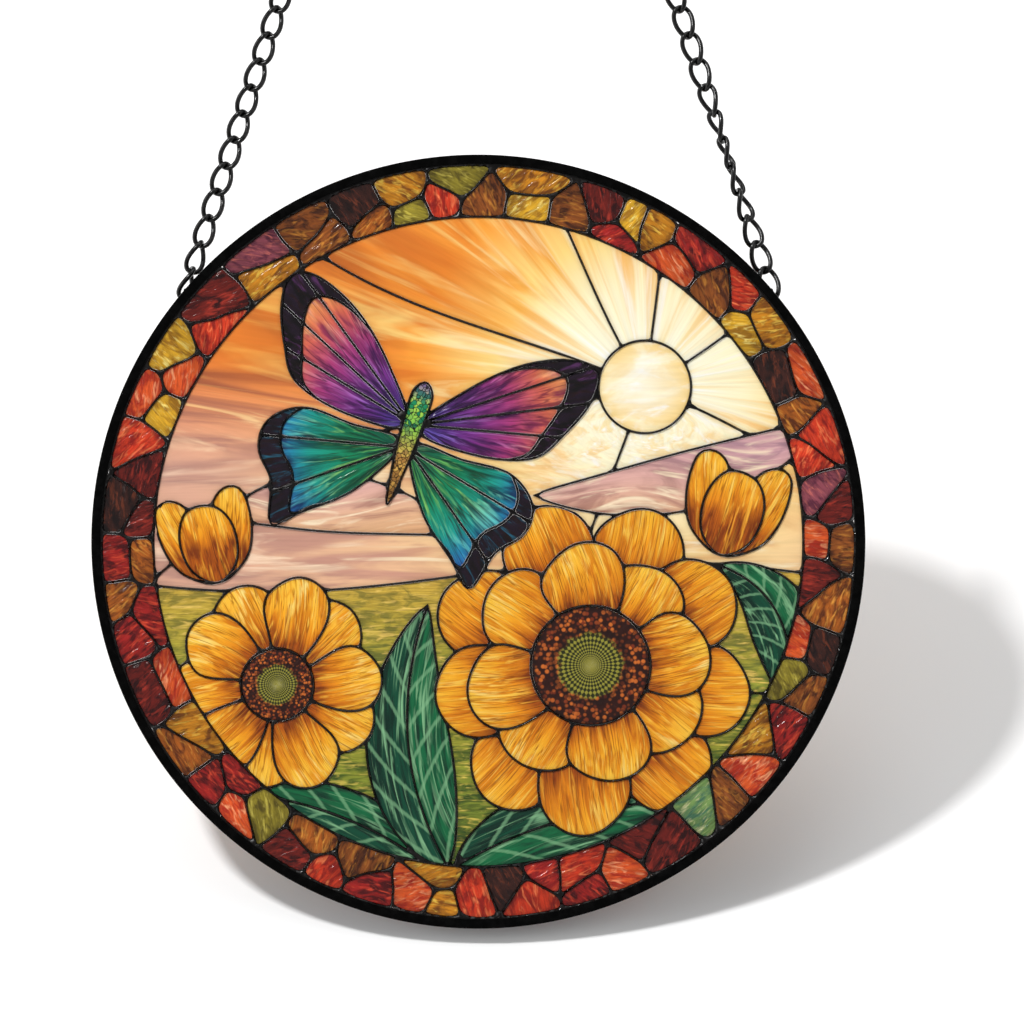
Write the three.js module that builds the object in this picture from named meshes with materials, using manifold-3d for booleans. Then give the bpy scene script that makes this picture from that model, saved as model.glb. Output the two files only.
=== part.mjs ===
// A round stained-glass suncatcher: coloured glass held in a net of thin black leading, inside a
// U-shaped black metal rim, hung by two twisted-link chains from one ring.
// Millimetres, +Z up. The glass faces -Y. The origin is the centre of the hanging ring.
import * as THREE from "three";
import { mergeVertices } from "three/addons/utils/BufferGeometryUtils.js";
import Module from "manifold-3d";

const wasm = await Module();
wasm.setup();

// ---- Driving dimensions ----
const RADIUS = 100; // outside of the rim
const RIM_FACE = 2.3; // width of the rim seen from the front
const RIM_WALL = 0.7; // thickness of the rim's metal
const RIM_DEPTH = 4.8; // front to back
const GLASS = 3; // thickness of the glass
const GROOVE_CLEARANCE = 0.2; // between the glass and the rim's two lips
const EDGE_CLEARANCE = 0.3; // between the edge of the glass and the bottom of the groove
const PICTURE_RADIUS = 84; // middle of the lead circle round the picture
const LEAD = 0.7; // width of a lead line
const LEAD_PROUD = 0.45; // how far the leading stands out of the glass
const RIB_LEAD = 0.6; // width of a line that only lies on the glass
const RIB_FRONT = 0.05; // how far its face lies behind the face of the other lines
const RIB_GAP = 0.1; // between it and the glass
const GLASS_GAP = 0.12; // between a piece of glass and the leading round it
const RIM_LINE = 0.35; // width of the lead line just inside the rim
const SMALLEST_PIECE = 90; // mm2: smaller slips of glass between the pieces are left open
const SMALLEST_OPENING = 3; // mm2: anything smaller is solid leading
const CIRCLE_STEPS = 40;

const WIRE = 1.05; // wire of the chain and of the eyes
const LINK_PITCH = 7.1; // from link to link
const LINK_WIDTH = 5.7; // outside width of a link
const LINK_TWIST = Math.PI / 4; // each end of a link is turned this far, in opposite directions
const LINKS = 34; // in each chain
const CHAIN_ANGLE = THREE.MathUtils.degToRad(18); // from the vertical
// How far each link is turned about the chain, from the link at the rim upwards, and at the ring: the
// left chain hangs almost straight, the right one has half a turn in it.
const LEFT_ROLLS = [64, 40, 20, 10];
const RIGHT_ROLLS = [4, 14, 34, 58, 76, 92, 110, 136, 160];
const LEFT_TOP_ROLL = 45;
const RIGHT_TOP_ROLL = 225;
const RING_RADIUS = 6.6; // middle of the ring's wire
const RING_WIRE = 1.6;
const EYE_WIDTH = 4.2; // the eye's two feet, middle to middle of the wire
const EYE_HEIGHT = 3.4; // how far the middle of its wire stands out behind the rim
const EYE_INSET = 0.9; // middle of the eye inside the rim's outer edge
const PLAY = 0.3; // gap between wires that hang in one another
const FOOT_GAP = 0.05; // between the eye's feet and the rim

// ---- Worked out from them ----
const HALF_GLASS = GLASS / 2;
const LEAD_FACE = HALF_GLASS + LEAD_PROUD;
const RIM_INNER = RADIUS - RIM_FACE;
const GROOVE_RADIUS = RADIUS - RIM_WALL;
const GLASS_RADIUS = GROOVE_RADIUS - EDGE_CLEARANCE;
const BORDER_OUTER = RIM_INNER - EDGE_CLEARANCE; // where the leading ends, inside the rim's lip
const RIB_FACE = [-LEAD_FACE + RIB_FRONT, -HALF_GLASS - RIB_GAP];
const CHAIN_BEHIND = RIM_DEPTH / 2 + EYE_HEIGHT / 2 - PLAY / 2; // the chains hang behind the rim
const LINK_HALF = (LINK_PITCH + WIRE) / 2; // middle of a link to the middle of the wire at its end
const FIRST_LINK = RING_RADIUS - RING_WIRE / 2 - WIRE / 2 - PLAY + LINK_HALF;
const CHAIN_LENGTH = FIRST_LINK + (LINKS - 1) * LINK_PITCH + LINK_HALF;
const EYE_PLACE = RADIUS - EYE_INSET; // radius at which the eyes stand on the rim
const EYE_X = CHAIN_LENGTH * Math.sin(CHAIN_ANGLE);
const EYE_ANGLE = Math.acos(EYE_X / EYE_PLACE); // above the horizontal
const DISC_Z = -CHAIN_LENGTH * Math.cos(CHAIN_ANGLE) - EYE_PLACE * Math.sin(EYE_ANGLE);

const point = (x, y) => new THREE.Vector2(x, y);
const polar = (radius, angle) => point(radius * Math.cos(angle), radius * Math.sin(angle));
const degrees = THREE.MathUtils.degToRad;
const mix = THREE.MathUtils.lerp;

// A repeatable source of numbers from 0 to 1, for hand-cut irregularity.
function randomFrom(seed) {
  let state = seed;
  return () => {
    state = (state * 1664525 + 1013904223) % 4294967296;
    return state / 4294967296;
  };
}

// ---- Solids ----
function solidOf(geometry) {
  geometry.deleteAttribute("normal");
  geometry.deleteAttribute("uv");
  const merged = mergeVertices(geometry, 1e-4);
  return new wasm.Manifold(
    new wasm.Mesh({
      numProp: 3,
      vertProperties: merged.attributes.position.array,
      triVerts: new Uint32Array(merged.index.array),
    }),
  );
}

function geometryOf(solid) {
  const mesh = solid.getMesh();
  const positions = new Float32Array(mesh.numVert * 3);
  for (let i = 0; i < mesh.numVert; i++) {
    const start = i * mesh.numProp;
    positions.set(mesh.vertProperties.subarray(start, start + 3), i * 3);
  }
  const geometry = new THREE.BufferGeometry();
  geometry.setAttribute("position", new THREE.BufferAttribute(positions, 3));
  geometry.setIndex(new THREE.BufferAttribute(mesh.triVerts, 1));
  geometry.computeVertexNormals();
  return geometry;
}

function unionOf(solids) {
  let parts = [...solids];
  while (parts.length > 1) {
    const joined = [];
    for (let i = 0; i < parts.length; i += 2) {
      joined.push(i + 1 < parts.length ? parts[i].add(parts[i + 1]) : parts[i]);
    }
    parts = joined;
  }
  return parts[0];
}

// An upright slab with this outline, from y = front to y = back.
function slab(outline, front, back) {
  const geometry = new THREE.ExtrudeGeometry(new THREE.Shape(outline), {
    depth: back - front,
    bevelEnabled: false,
  });
  geometry.rotateX(Math.PI / 2);
  geometry.translate(0, back, 0);
  return solidOf(geometry);
}

// ---- Outlines, all counterclockwise, in the plane of the glass with its centre at 0, 0 ----
function circle(radius, centre = point(0, 0), steps = CIRCLE_STEPS) {
  return Array.from({ length: steps }, (_, i) =>
    polar(radius, (i / steps) * 2 * Math.PI).add(centre),
  );
}

// The outline grown by distance, or shrunk by a negative one, with its sharp corners mitred.
function offset(outline, distance) {
  const count = outline.length;
  const normals = outline.map((p, i) => {
    const along = outline[(i + 1) % count].clone().sub(p).normalize();
    return point(along.y, -along.x);
  });
  return outline.map((p, i) => {
    const before = normals[(i + count - 1) % count];
    const sum = before.clone().add(normals[i]);
    const bend = Math.max(1 + before.dot(normals[i]), 0.35);
    return p.clone().addScaledVector(sum, distance / bend);
  });
}

// A smooth closed outline through a few points.
function smooth(points, steps) {
  const curve = new THREE.SplineCurve([...points.slice(-2), ...points, ...points.slice(0, 2)]);
  const spans = points.length + 3;
  return Array.from({ length: steps }, (_, i) =>
    curve.getPoint((2 + (i / steps) * points.length) / spans),
  );
}

// Turns, stretches and places an outline.
function place(outline, centre, turn = 0, stretch = 1) {
  return outline.map((p) => {
    const at = point(p.x, p.y * stretch).rotateAround(point(0, 0), turn);
    return at.add(centre);
  });
}

const mirrored = (outline) => outline.map((p) => point(-p.x, p.y)).reverse();

// ---- The picture: a butterfly over golden poppies at sunrise ----
const BUTTERFLY = point(-18, 27);
const BUTTERFLY_TURN = degrees(-18);
const FOREWING = [
  [1.3, 2.6], [10.5, 16], [22, 26.5], [34, 32], [41.5, 31], [42, 23], [38, 13], [32, 4.5], [17, 0.8],
];
const HINDWING = [
  [1.3, -1.8], [15, -1.3], [28, -1], [36, -7], [36, -15], [30.5, -21.5], [27, -32.5], [20.5, -27], [9, -17],
];
const BODY = [[0, 15], [-2.6, 12], [-2.6, 4], [-1.9, -7], [0, -19], [1.9, -7], [2.6, 4], [2.6, 12]];
const WING_BAND = 0.2; // depth of the dark edge of a wing, as a share of the wing
const WINGS = [
  { name: "forewing", points: FOREWING, root: point(0.5, 3.5), veins: [36, 25, 13] },
  { name: "hindwing", points: HINDWING, root: point(1, -3), veins: [-13, -37] },
];

const SUN = point(43, 40);
const SUN_RADIUS = 12;
const RAY_ANGLES = [-20, 28, 82, 122, 156, 196, 250];

const LARGE_POPPY = {
  centre: point(29, -32),
  heart: 15.5,
  layers: [
    { name: "inner_petal", count: 8, start: degrees(10), length: 32, width: 22 },
    { name: "outer_petal", count: 9, start: degrees(31), length: 43, width: 24 },
  ],
};
const LEFT_POPPY = {
  centre: point(-52, -37),
  heart: 9.5,
  layers: [{ name: "petal", count: 10, start: degrees(8), length: 28, width: 17 }],
};

const rounded = (points, steps) => smooth(points.map(([x, y]) => point(x, y)), steps);

// The outline of an open line of even width through these points.
function line(points, width) {
  const side = (sign) =>
    points.map((p, i) => {
      const along = points[Math.min(i + 1, points.length - 1)].clone();
      along.sub(points[Math.max(i - 1, 0)]).normalize();
      return p.clone().addScaledVector(point(along.y, -along.x), (sign * width) / 2);
    });
  return [...side(1), ...side(-1).reverse()];
}

// The veins of a wing run out from its root, and a band follows its outer edge.
function wingLines({ root, veins, points }) {
  const LONG = 70;
  const edge = rounded(points, 18).filter((p) => p.distanceTo(root) > 21);
  const first = edge.findIndex((p, i) => i && p.distanceTo(edge[i - 1]) > 15);
  const outer = first > 0 ? [...edge.slice(first), ...edge.slice(0, first)] : edge;
  const band = outer.map((p, i) => {
    const inward = WING_BAND * Math.sqrt(Math.sin((Math.PI * i) / (outer.length - 1)));
    return root.clone().lerp(p, 1.03 - inward);
  });
  const runs = veins.map((angle) => [root, polar(LONG, degrees(angle)).add(root)]);
  return [...runs, band].map((points) => line(points, RIB_LEAD));
}

function butterfly() {
  const placed = (outline) => place(outline, BUTTERFLY, BUTTERFLY_TURN);
  const wings = WINGS.flatMap((wing) => {
    const outline = rounded(wing.points, 18).reverse();
    const ribs = wingLines(wing);
    return [
      { name: `right_${wing.name}`, outline: placed(outline), ribs: ribs.map(placed) },
      {
        name: `left_${wing.name}`,
        outline: placed(mirrored(outline)),
        ribs: ribs.map((rib) => placed(mirrored(rib))),
      },
    ];
  });
  return [{ name: "butterfly_body", outline: placed(rounded(BODY, 14)) }, ...wings];
}

// A leaf or petal along a bent midrib, whose ends and middle handle are from, through and to.
// It is widest at this share of its length, and the higher taper is, the sharper its ends are. With
// closeTip its points lie closer together towards the tip.
function blade(from, through, to, { width, widest, taper, steps, closeTip = false }) {
  const midrib = new THREE.QuadraticBezierCurve(from, through, to);
  const power = Math.log(0.5) / Math.log(widest);
  const side = (sign) =>
    Array.from({ length: steps - 1 }, (_, i) => {
      const share = (i + 1) / steps;
      const t = closeTip ? Math.sin((Math.PI / 2) * share) : share;
      const along = midrib.getTangent(t);
      const half = (width / 2) * Math.pow(Math.sin(Math.PI * Math.pow(t, power)), taper);
      return midrib.getPoint(t).addScaledVector(point(along.y, -along.x), sign * half);
    });
  return [from, ...side(1), to, ...side(-1).reverse()];
}

// Rings of petals round a heart. Every other petal of a ring lies on its neighbours.
function poppy(name, flower, steps, group) {
  const random = randomFrom(name.length);
  const centre = flower.centre;
  const pieces = [{ name: `${name}_stamens`, outline: circle(flower.heart, centre, 20) }];
  for (const layer of flower.layers) {
    const inFront = Math.ceil(layer.count / 2);
    for (let i = 0; i < layer.count; i++) {
      const spot = i < inFront ? i * 2 : (i - inFront) * 2 + 1;
      const angle = layer.start + (spot / layer.count) * 2 * Math.PI;
      const reach = layer.length * mix(0.94, 1.04, random());
      const bend = layer.width * mix(-0.22, 0.22, random());
      const through = polar(reach * 0.6, angle).add(polar(bend, angle + Math.PI / 2));
      const shape = { width: layer.width, widest: 0.68, taper: 0.55, steps, closeTip: true };
      const outline = blade(centre, through.add(centre), polar(reach, angle).add(centre), shape);
      pieces.push({ name: `${name}_${layer.name}_${spot + 1}`, outline, group });
    }
  }
  return pieces;
}

// A cup of three petals seen from the side, opening upwards.
function cup(name, centre, size, turn) {
  const front = [[0, -1], [0.5, -0.62], [0.6, 0.1], [0.3, 0.62], [-0.3, 0.66], [-0.6, 0.1], [-0.5, -0.62]];
  const side = [[0, -1], [0.72, -0.62], [1, 0.1], [0.95, 0.85], [0.55, 0.95], [0.2, 0.55], [0, -0.2]];
  const scaled = (points) => rounded(points.map(([x, y]) => [x * size, y * size]), 13);
  const petals = { front: scaled(front), right: scaled(side), left: mirrored(scaled(side)) };
  return Object.entries(petals).map(([where, outline]) => ({
    name: `${name}_${where}_petal`,
    outline: place(outline, centre, turn),
    group: `${name}_petals`,
  }));
}

// A leaf with a line of lead along most of its midrib.
function leaf(name, from, through, to, width) {
  const outline = blade(from, through, to, { width, widest: 0.42, taper: 0.8, steps: 7 });
  const midrib = new THREE.QuadraticBezierCurve(from, through, to);
  return { name, outline, ribs: [line(midrib.getPoints(5), RIB_LEAD)] };
}

// The panes of sky between two bent rays of the sun.
function sky() {
  const [FAR, STEPS] = [170, 9];
  const ray = (angle) =>
    Array.from({ length: STEPS + 1 }, (_, i) => {
      const share = i / STEPS;
      const bend = degrees(7) * Math.sin(angle * 2.3) * Math.sin(share * 5);
      return polar(share * FAR, degrees(angle) + bend).add(SUN);
    });
  return RAY_ANGLES.map((angle, i) => {
    const next = RAY_ANGLES[(i + 1) % RAY_ANGLES.length];
    const outline = [...ray(angle), ...ray(next).slice(1).reverse()];
    return { name: `sky_pane_${i + 1}`, outline };
  });
}

// Rolling ground: everything below a waved line.
function ground(name, height, wave, phase) {
  const steps = 8;
  const top = Array.from({ length: steps + 1 }, (_, i) => {
    const x = mix(RADIUS, -RADIUS, i / steps);
    return point(x, height + wave * Math.sin(x / 31 + phase));
  });
  return { name, outline: [point(-RADIUS, -RADIUS), point(RADIUS, -RADIUS), ...top] };
}

const cloud = (name, from, through, to, width) => ({
  name,
  outline: blade(from, through, to, { width, widest: 0.5, taper: 0.8, steps: 7 }),
});

// Every piece of the picture, the nearest first. A piece is cut away where a nearer one covers it.
const picture = [
  ...butterfly(),
  ...poppy("large_poppy", LARGE_POPPY, 6),
  ...poppy("left_poppy", LEFT_POPPY, 5, "left_poppy_petals"),
  ...cup("right_bloom", point(66, 9), 13, degrees(-16)),
  ...cup("left_bloom", point(-70, 1), 12, degrees(14)),
  leaf("centre_leaf", point(-8, -84), point(-26, -52), point(-13, -16), 22),
  leaf("lower_leaf", point(-6, -84), point(24, -66), point(66, -66), 19),
  leaf("left_leaf", point(-10, -86), point(-34, -66), point(-70, -64), 15),
  leaf("right_leaf", point(80, -42), point(84, -14), point(62, -6), 17),
  { name: "sun", outline: circle(SUN_RADIUS, SUN, 20) },
  ground("meadow", -38, 3, 1.2),
  ground("hills", -9, 4, 0.2),
  cloud("left_cloud", point(-66, 6), point(-40, 16), point(-4, 2), 15),
  cloud("right_cloud", point(90, 32), point(58, 10), point(14, 12), 15),
  ...sky(),
];

// Pieces of one group are one node, and don't cut each other.
const groupOf = (piece) => piece.group ?? piece.name;

// ---- The mosaic border: irregular stones in two rows ----
const STONES = [
  { radius: 93.4, count: 44, jitter: 2.2 },
  { radius: 87.4, count: 40, jitter: 1.5 },
];

// The part of a convex outline nearer to a than to b, less half a lead line.
function nearer(outline, a, b) {
  const normal = b.clone().sub(a).normalize();
  const middle = a.clone().add(b).multiplyScalar(0.5).addScaledVector(normal, -LEAD / 2);
  const depth = (p) => normal.dot(p.clone().sub(middle));
  return outline.flatMap((p, i) => {
    const next = outline[(i + 1) % outline.length];
    const [here, there] = [depth(p), depth(next)];
    const kept = here <= 0 ? [p] : [];
    if (here * there < 0) kept.push(p.clone().lerp(next, here / (here - there)));
    return kept;
  });
}

function stones() {
  const random = randomFrom(7);
  const seeds = STONES.flatMap((row) => {
    const widths = Array.from({ length: row.count }, () => mix(0.45, 1.7, random()));
    const total = widths.reduce((sum, width) => sum + width, 0);
    let turned = 0;
    return widths.map((width) => {
      turned += width;
      const radius = row.radius + mix(-row.jitter, row.jitter, random());
      return polar(radius, (turned / total) * 2 * Math.PI);
    });
  });
  const REACH = 24; // mm: no stone is larger
  return seeds.map((seed) => {
    let outline = circle(REACH, seed, 4);
    for (const other of seeds) {
      if (other !== seed && other.distanceTo(seed) < 2 * REACH) outline = nearer(outline, seed, other);
    }
    return outline;
  });
}

// ---- The panel: leading and glass ----
const SECTORS = ["top", "left", "bottom", "right"];

const disc = (radius, front, back) => slab(circle(radius), front, back);
const ringOf = (outer, inner, front, back) =>
  disc(outer, front, back).subtract(disc(inner, front - 1, back + 1));

// A wedge of the border as wide as one sector, less margin on each side.
function sectorSlab(index, margin, front, back) {
  const middle = Math.PI / 2 + (index / SECTORS.length) * 2 * Math.PI;
  const half = Math.PI / SECTORS.length;
  const edge = (sign) => {
    const angle = middle + sign * half;
    const inward = polar(margin, angle - (sign * Math.PI) / 2);
    return [polar(PICTURE_RADIUS / 2, angle).add(inward), polar(2 * RADIUS, angle).add(inward)];
  };
  const [left, right] = [edge(1), edge(-1)];
  return slab([right[0], right[1], left[1], left[0]], front, back);
}

// The separate bodies of a solid, the largest first, without those smaller than least mm2.
function bodies(solid, thickness, least) {
  return solid
    .decompose()
    .filter((body) => body.volume() / thickness > least)
    .sort((a, b) => b.volume() - a.volume());
}

// What is in sight of each group of pieces, as slabs: their outlines taken in by margin, less the
// nearer outlines of other groups grown by it.
function groupsInSight(pieces, region, margin, front, back) {
  const groups = new Map();
  pieces.forEach((piece, i) => {
    const name = groupOf(piece);
    const covers = pieces
      .slice(0, i)
      .filter((nearer) => groupOf(nearer) !== name)
      .map((nearer) => slab(offset(nearer.outline, margin), front - 1, back + 1));
    const whole = slab(offset(piece.outline, -margin), front, back).intersect(region);
    const solid = covers.length ? whole.subtract(unionOf(covers)) : whole;
    groups.set(name, groups.has(name) ? groups.get(name).add(solid) : solid);
  });
  return [...groups].map(([name, solid]) => ({ name, solid }));
}

// The lines inside a group of pieces: the outlines of its members where no nearer member covers
// them, and their ribs. They end inside the lead round the group.
function linesOnGlass(members, covers) {
  const half = RIB_LEAD / 2;
  const inLead = LEAD / 2 - 0.15;
  const [front, back] = RIB_FACE;
  const region = unionOf(members.map(({ outline }) => slab(offset(outline, -inLead), front, back)));
  const lines = members.flatMap(({ outline, ribs = [] }, i) => {
    const nearer = members.slice(0, i).map((member) => offset(member.outline, -half));
    const whole = ribs.map((rib) => slab(rib, front, back).intersect(slab(outline, front, back)));
    if (members.length > 1) {
      const inner = slab(offset(outline, -half), front - 1, back + 1);
      whole.push(slab(offset(outline, half), front, back).subtract(inner));
    }
    if (!nearer.length || !whole.length) return whole;
    const cover = unionOf(nearer.map((shape) => slab(shape, front - 1, back + 1)));
    return whole.map((solid) => solid.subtract(cover));
  });
  if (!lines.length) return [];
  const inside = unionOf(lines).intersect(region);
  const hidden = covers.map((outline) => slab(offset(outline, inLead), front - 1, back + 1));
  return [hidden.length ? inside.subtract(unionOf(hidden)) : inside];
}

// The leading goes right through round each piece of glass of the picture. The lines within a piece,
// and those between the stones of the border, only lie on the front of the glass.
function leading() {
  const margin = LEAD / 2;
  const [front, back] = [-LEAD_FACE, LEAD_FACE];
  const BURIED = 0.1; // how deep the border's inner edge lies in the lead circle
  const inside = disc(PICTURE_RADIUS - margin, front - 1, back + 1);
  const openings = groupsInSight(picture, inside, margin, front - 1, back + 1).flatMap(({ solid }) =>
    bodies(solid, back - front + 2, SMALLEST_OPENING),
  );
  const net = disc(PICTURE_RADIUS + margin, front, back).subtract(unionOf(openings));

  const groups = [...new Set(picture.map(groupOf))];
  const pictureLines = groups.flatMap((name) => {
    const members = picture.filter((piece) => groupOf(piece) === name);
    const nearer = picture.slice(0, picture.indexOf(members[0]));
    return linesOnGlass(members, nearer.map(({ outline }) => outline));
  });
  const within = disc(PICTURE_RADIUS, front, back);

  const [ribFront, ribBack] = RIB_FACE;
  const [outer, inner] = [BORDER_OUTER - RIM_LINE, PICTURE_RADIUS + BURIED];
  const band = ringOf(outer, inner, ribFront - 1, ribBack + 1);
  const cells = stones().map((outline) => slab(outline, ribFront - 1, ribBack + 1).intersect(band));
  const border = ringOf(BORDER_OUTER, PICTURE_RADIUS, ribFront, ribBack).subtract(unionOf(cells));
  return unionOf([net, border, ...pictureLines.map((solid) => solid.intersect(within))]);
}

function glass() {
  const [front, back] = [-HALF_GLASS, HALF_GLASS];
  const margin = LEAD / 2 + GLASS_GAP;
  const inside = disc(PICTURE_RADIUS - margin, front - 1, back + 1);
  const pieces = groupsInSight(picture, inside, margin, front, back).flatMap(({ name, solid }) =>
    bodies(solid, GLASS, SMALLEST_PIECE).map((body, i) => ({
      name: i ? `${name}_${"abcdefgh"[i]}` : name,
      solid: body,
    })),
  );
  const band = ringOf(GLASS_RADIUS, PICTURE_RADIUS + margin, front, back);
  const sectors = SECTORS.map((name, i) => ({
    name: `border_${name}`,
    solid: band.intersect(sectorSlab(i, PLAY / 2, front - 1, back + 1)),
  }));
  return [...pieces, ...sectors];
}

// ---- The rim, its eyes, the chains and the ring ----
function rim() {
  const outside = ringOf(RADIUS, RIM_INNER, -RIM_DEPTH / 2, RIM_DEPTH / 2);
  const half = HALF_GLASS + GROOVE_CLEARANCE;
  return outside.subtract(ringOf(GROOVE_RADIUS, RIM_INNER - 1, -half, half));
}

// A closed convex loop of wire along the points, with a few-sided section, mitred at its corners.
function wireLoop(points, diameter, sides) {
  const count = points.length;
  const radius = diameter / 2;
  const positions = points.flatMap((p, i) => {
    const before = p.clone().sub(points[(i + count - 1) % count]).normalize();
    const after = points[(i + 1) % count].clone().sub(p).normalize();
    const out = before.clone().sub(after).normalize();
    const across = before.clone().add(after).normalize().cross(out);
    const mitre = radius / Math.sqrt((1 + before.dot(after)) / 2);
    return Array.from({ length: sides }, (_, k) => {
      const angle = Math.PI + (k / sides) * 2 * Math.PI; // the first corner points inwards
      return p.clone()
        .addScaledVector(out, mitre * Math.cos(angle))
        .addScaledVector(across, radius * Math.sin(angle));
    });
  });
  const index = [];
  for (let i = 0; i < count; i++) {
    for (let k = 0; k < sides; k++) {
      const [a, b] = [i * sides + k, i * sides + ((k + 1) % sides)];
      const [c, d] = [a, b].map((corner) => (corner + sides) % (count * sides));
      index.push(a, b, c, b, d, c);
    }
  }
  const geometry = new THREE.BufferGeometry().setFromPoints(positions);
  geometry.setIndex(index);
  return solidOf(geometry);
}

// One link, its long way along Z, its two ends turned in opposite directions.
function linkPoints(steps) {
  const stretch = 1 / Math.cos(Math.PI / steps);
  return Array.from({ length: steps }, (_, i) => {
    const t = ((i + 0.5) / steps) * 2 * Math.PI;
    const along = LINK_HALF * stretch * Math.cos(t);
    const across = ((LINK_WIDTH - WIRE) / 2) * Math.sin(t);
    const turn = LINK_TWIST * THREE.MathUtils.clamp(along / LINK_HALF, -1, 1);
    return new THREE.Vector3(across * Math.cos(turn), across * Math.sin(turn), along);
  });
}

// side is 1 on the right and -1 on the left.
function chain(side) {
  const [STEPS, SIDES, TOUCH] = [6, 4, 1.15]; // TOUCH thickens the wire so that links join
  const rolls = side > 0 ? RIGHT_ROLLS : LEFT_ROLLS;
  const topRoll = side > 0 ? RIGHT_TOP_ROLL : LEFT_TOP_ROLL;
  const slope = new THREE.Matrix4().makeRotationY(-side * CHAIN_ANGLE);
  const links = Array.from({ length: LINKS }, (_, i) => {
    const turned = rolls[LINKS - 1 - i] ?? mix(topRoll, rolls.at(-1), i / (LINKS - rolls.length));
    const roll = new THREE.Matrix4().makeRotationZ(degrees(turned));
    const drop = new THREE.Matrix4().makeTranslation(0, 0, -FIRST_LINK - i * LINK_PITCH);
    const matrix = slope.clone().multiply(drop).multiply(roll);
    return wireLoop(linkPoints(STEPS).map((p) => p.applyMatrix4(matrix)), WIRE * TOUCH, SIDES);
  });
  return unionOf(links);
}

function hangingRing() {
  const [STEPS, SIDES] = [18, 6];
  const points = circle(RING_RADIUS, point(0, 0), STEPS).map((p) => new THREE.Vector3(p.x, 0, p.y));
  return wireLoop(points, RING_WIRE, SIDES);
}

// A half ring of wire standing out of the back of the rim, in line with the chain.
function eye(side) {
  const [STEPS, SIDES] = [10, 6];
  const loop = circle(1, point(0, 0), STEPS).map(
    (p) => new THREE.Vector3(0, p.y * EYE_HEIGHT, (p.x * EYE_WIDTH) / 2),
  );
  const whole = wireLoop(loop, WIRE, SIDES);
  const behind = slab(circle(EYE_WIDTH, point(0, 0), 4), FOOT_GAP, 2 * EYE_HEIGHT);
  return whole
    .intersect(behind)
    .rotate(0, -side * THREE.MathUtils.radToDeg(CHAIN_ANGLE), 0)
    .translate(side * EYE_X, RIM_DEPTH / 2, EYE_PLACE * Math.sin(EYE_ANGLE));
}

// ---- The model ----
const FINISHES = {
  metal: { color: 0x0b0b0b, roughness: 0.45, metalness: 0.6 },
  lead: { color: 0x15120f, roughness: 0.5, metalness: 0.5 },
  stone: { color: 0xa0541c, roughness: 0.2, metalness: 0 },
  petal: { color: 0xf6b021, roughness: 0.2, metalness: 0 },
  stamens: { color: 0x4a2012, roughness: 0.3, metalness: 0 },
  leaf: { color: 0x1f7a45, roughness: 0.2, metalness: 0 },
  ground: { color: 0x8f9a3c, roughness: 0.2, metalness: 0 },
  sky: { color: 0xf3cf8a, roughness: 0.2, metalness: 0 },
  sun: { color: 0xfdf6d8, roughness: 0.2, metalness: 0 },
  forewing: { color: 0x6e2a72, roughness: 0.2, metalness: 0 },
  hindwing: { color: 0x167a63, roughness: 0.2, metalness: 0 },
  body: { color: 0x7a5426, roughness: 0.3, metalness: 0 },
};

// The finish of a piece of glass, by the first of these words that is in its name.
const FINISH_WORDS = [
  ["border", "stone"], ["petal", "petal"], ["stamens", "stamens"],
  ["leaf", "leaf"], ["meadow", "ground"], ["hills", "ground"],
  ["cloud", "sky"], ["sky", "sky"], ["sun", "sun"], ["forewing", "forewing"], ["hindwing", "hindwing"],
  ["body", "body"],
];
const finishOf = (name) => FINISH_WORDS.find(([word]) => name.includes(word))[1];

function part(name, solid, finish) {
  const mesh = new THREE.Mesh(
    geometryOf(solid),
    new THREE.MeshStandardMaterial(FINISHES[finish]),
  );
  mesh.name = name;
  return mesh;
}

const panel = new THREE.Group();
panel.position.set(0, -CHAIN_BEHIND, DISC_Z);
panel.add(part("rim", rim(), "metal"));
panel.add(part("leading", leading(), "lead"));
for (const { name, solid } of glass()) panel.add(part(name, solid, finishOf(name)));
panel.add(part("eye_left", eye(-1), "metal"));
panel.add(part("eye_right", eye(1), "metal"));

const suncatcher = new THREE.Group();
suncatcher.add(panel);
suncatcher.add(part("chain_left", chain(-1), "metal"));
suncatcher.add(part("chain_right", chain(1), "metal"));
suncatcher.add(part("hanging_ring", hangingRing(), "metal"));

export default suncatcher;
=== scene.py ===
"""A round stained glass suncatcher: leaded glass in a black metal rim, hung by two curb chains.

Lengths are in millimetres until a mesh is made. A flat shape is a list of complex numbers u + v*1j,
with u to the right, v upwards and 0 at the middle of the disc. The picture is laid out with the same
curves and the same repeatable numbers as the solids, with more points on each curve.
"""

import cmath
import math

import bpy
import numpy as np
from mathutils import Euler, Matrix, Vector, noise
from mathutils.geometry import delaunay_2d_cdt

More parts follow.
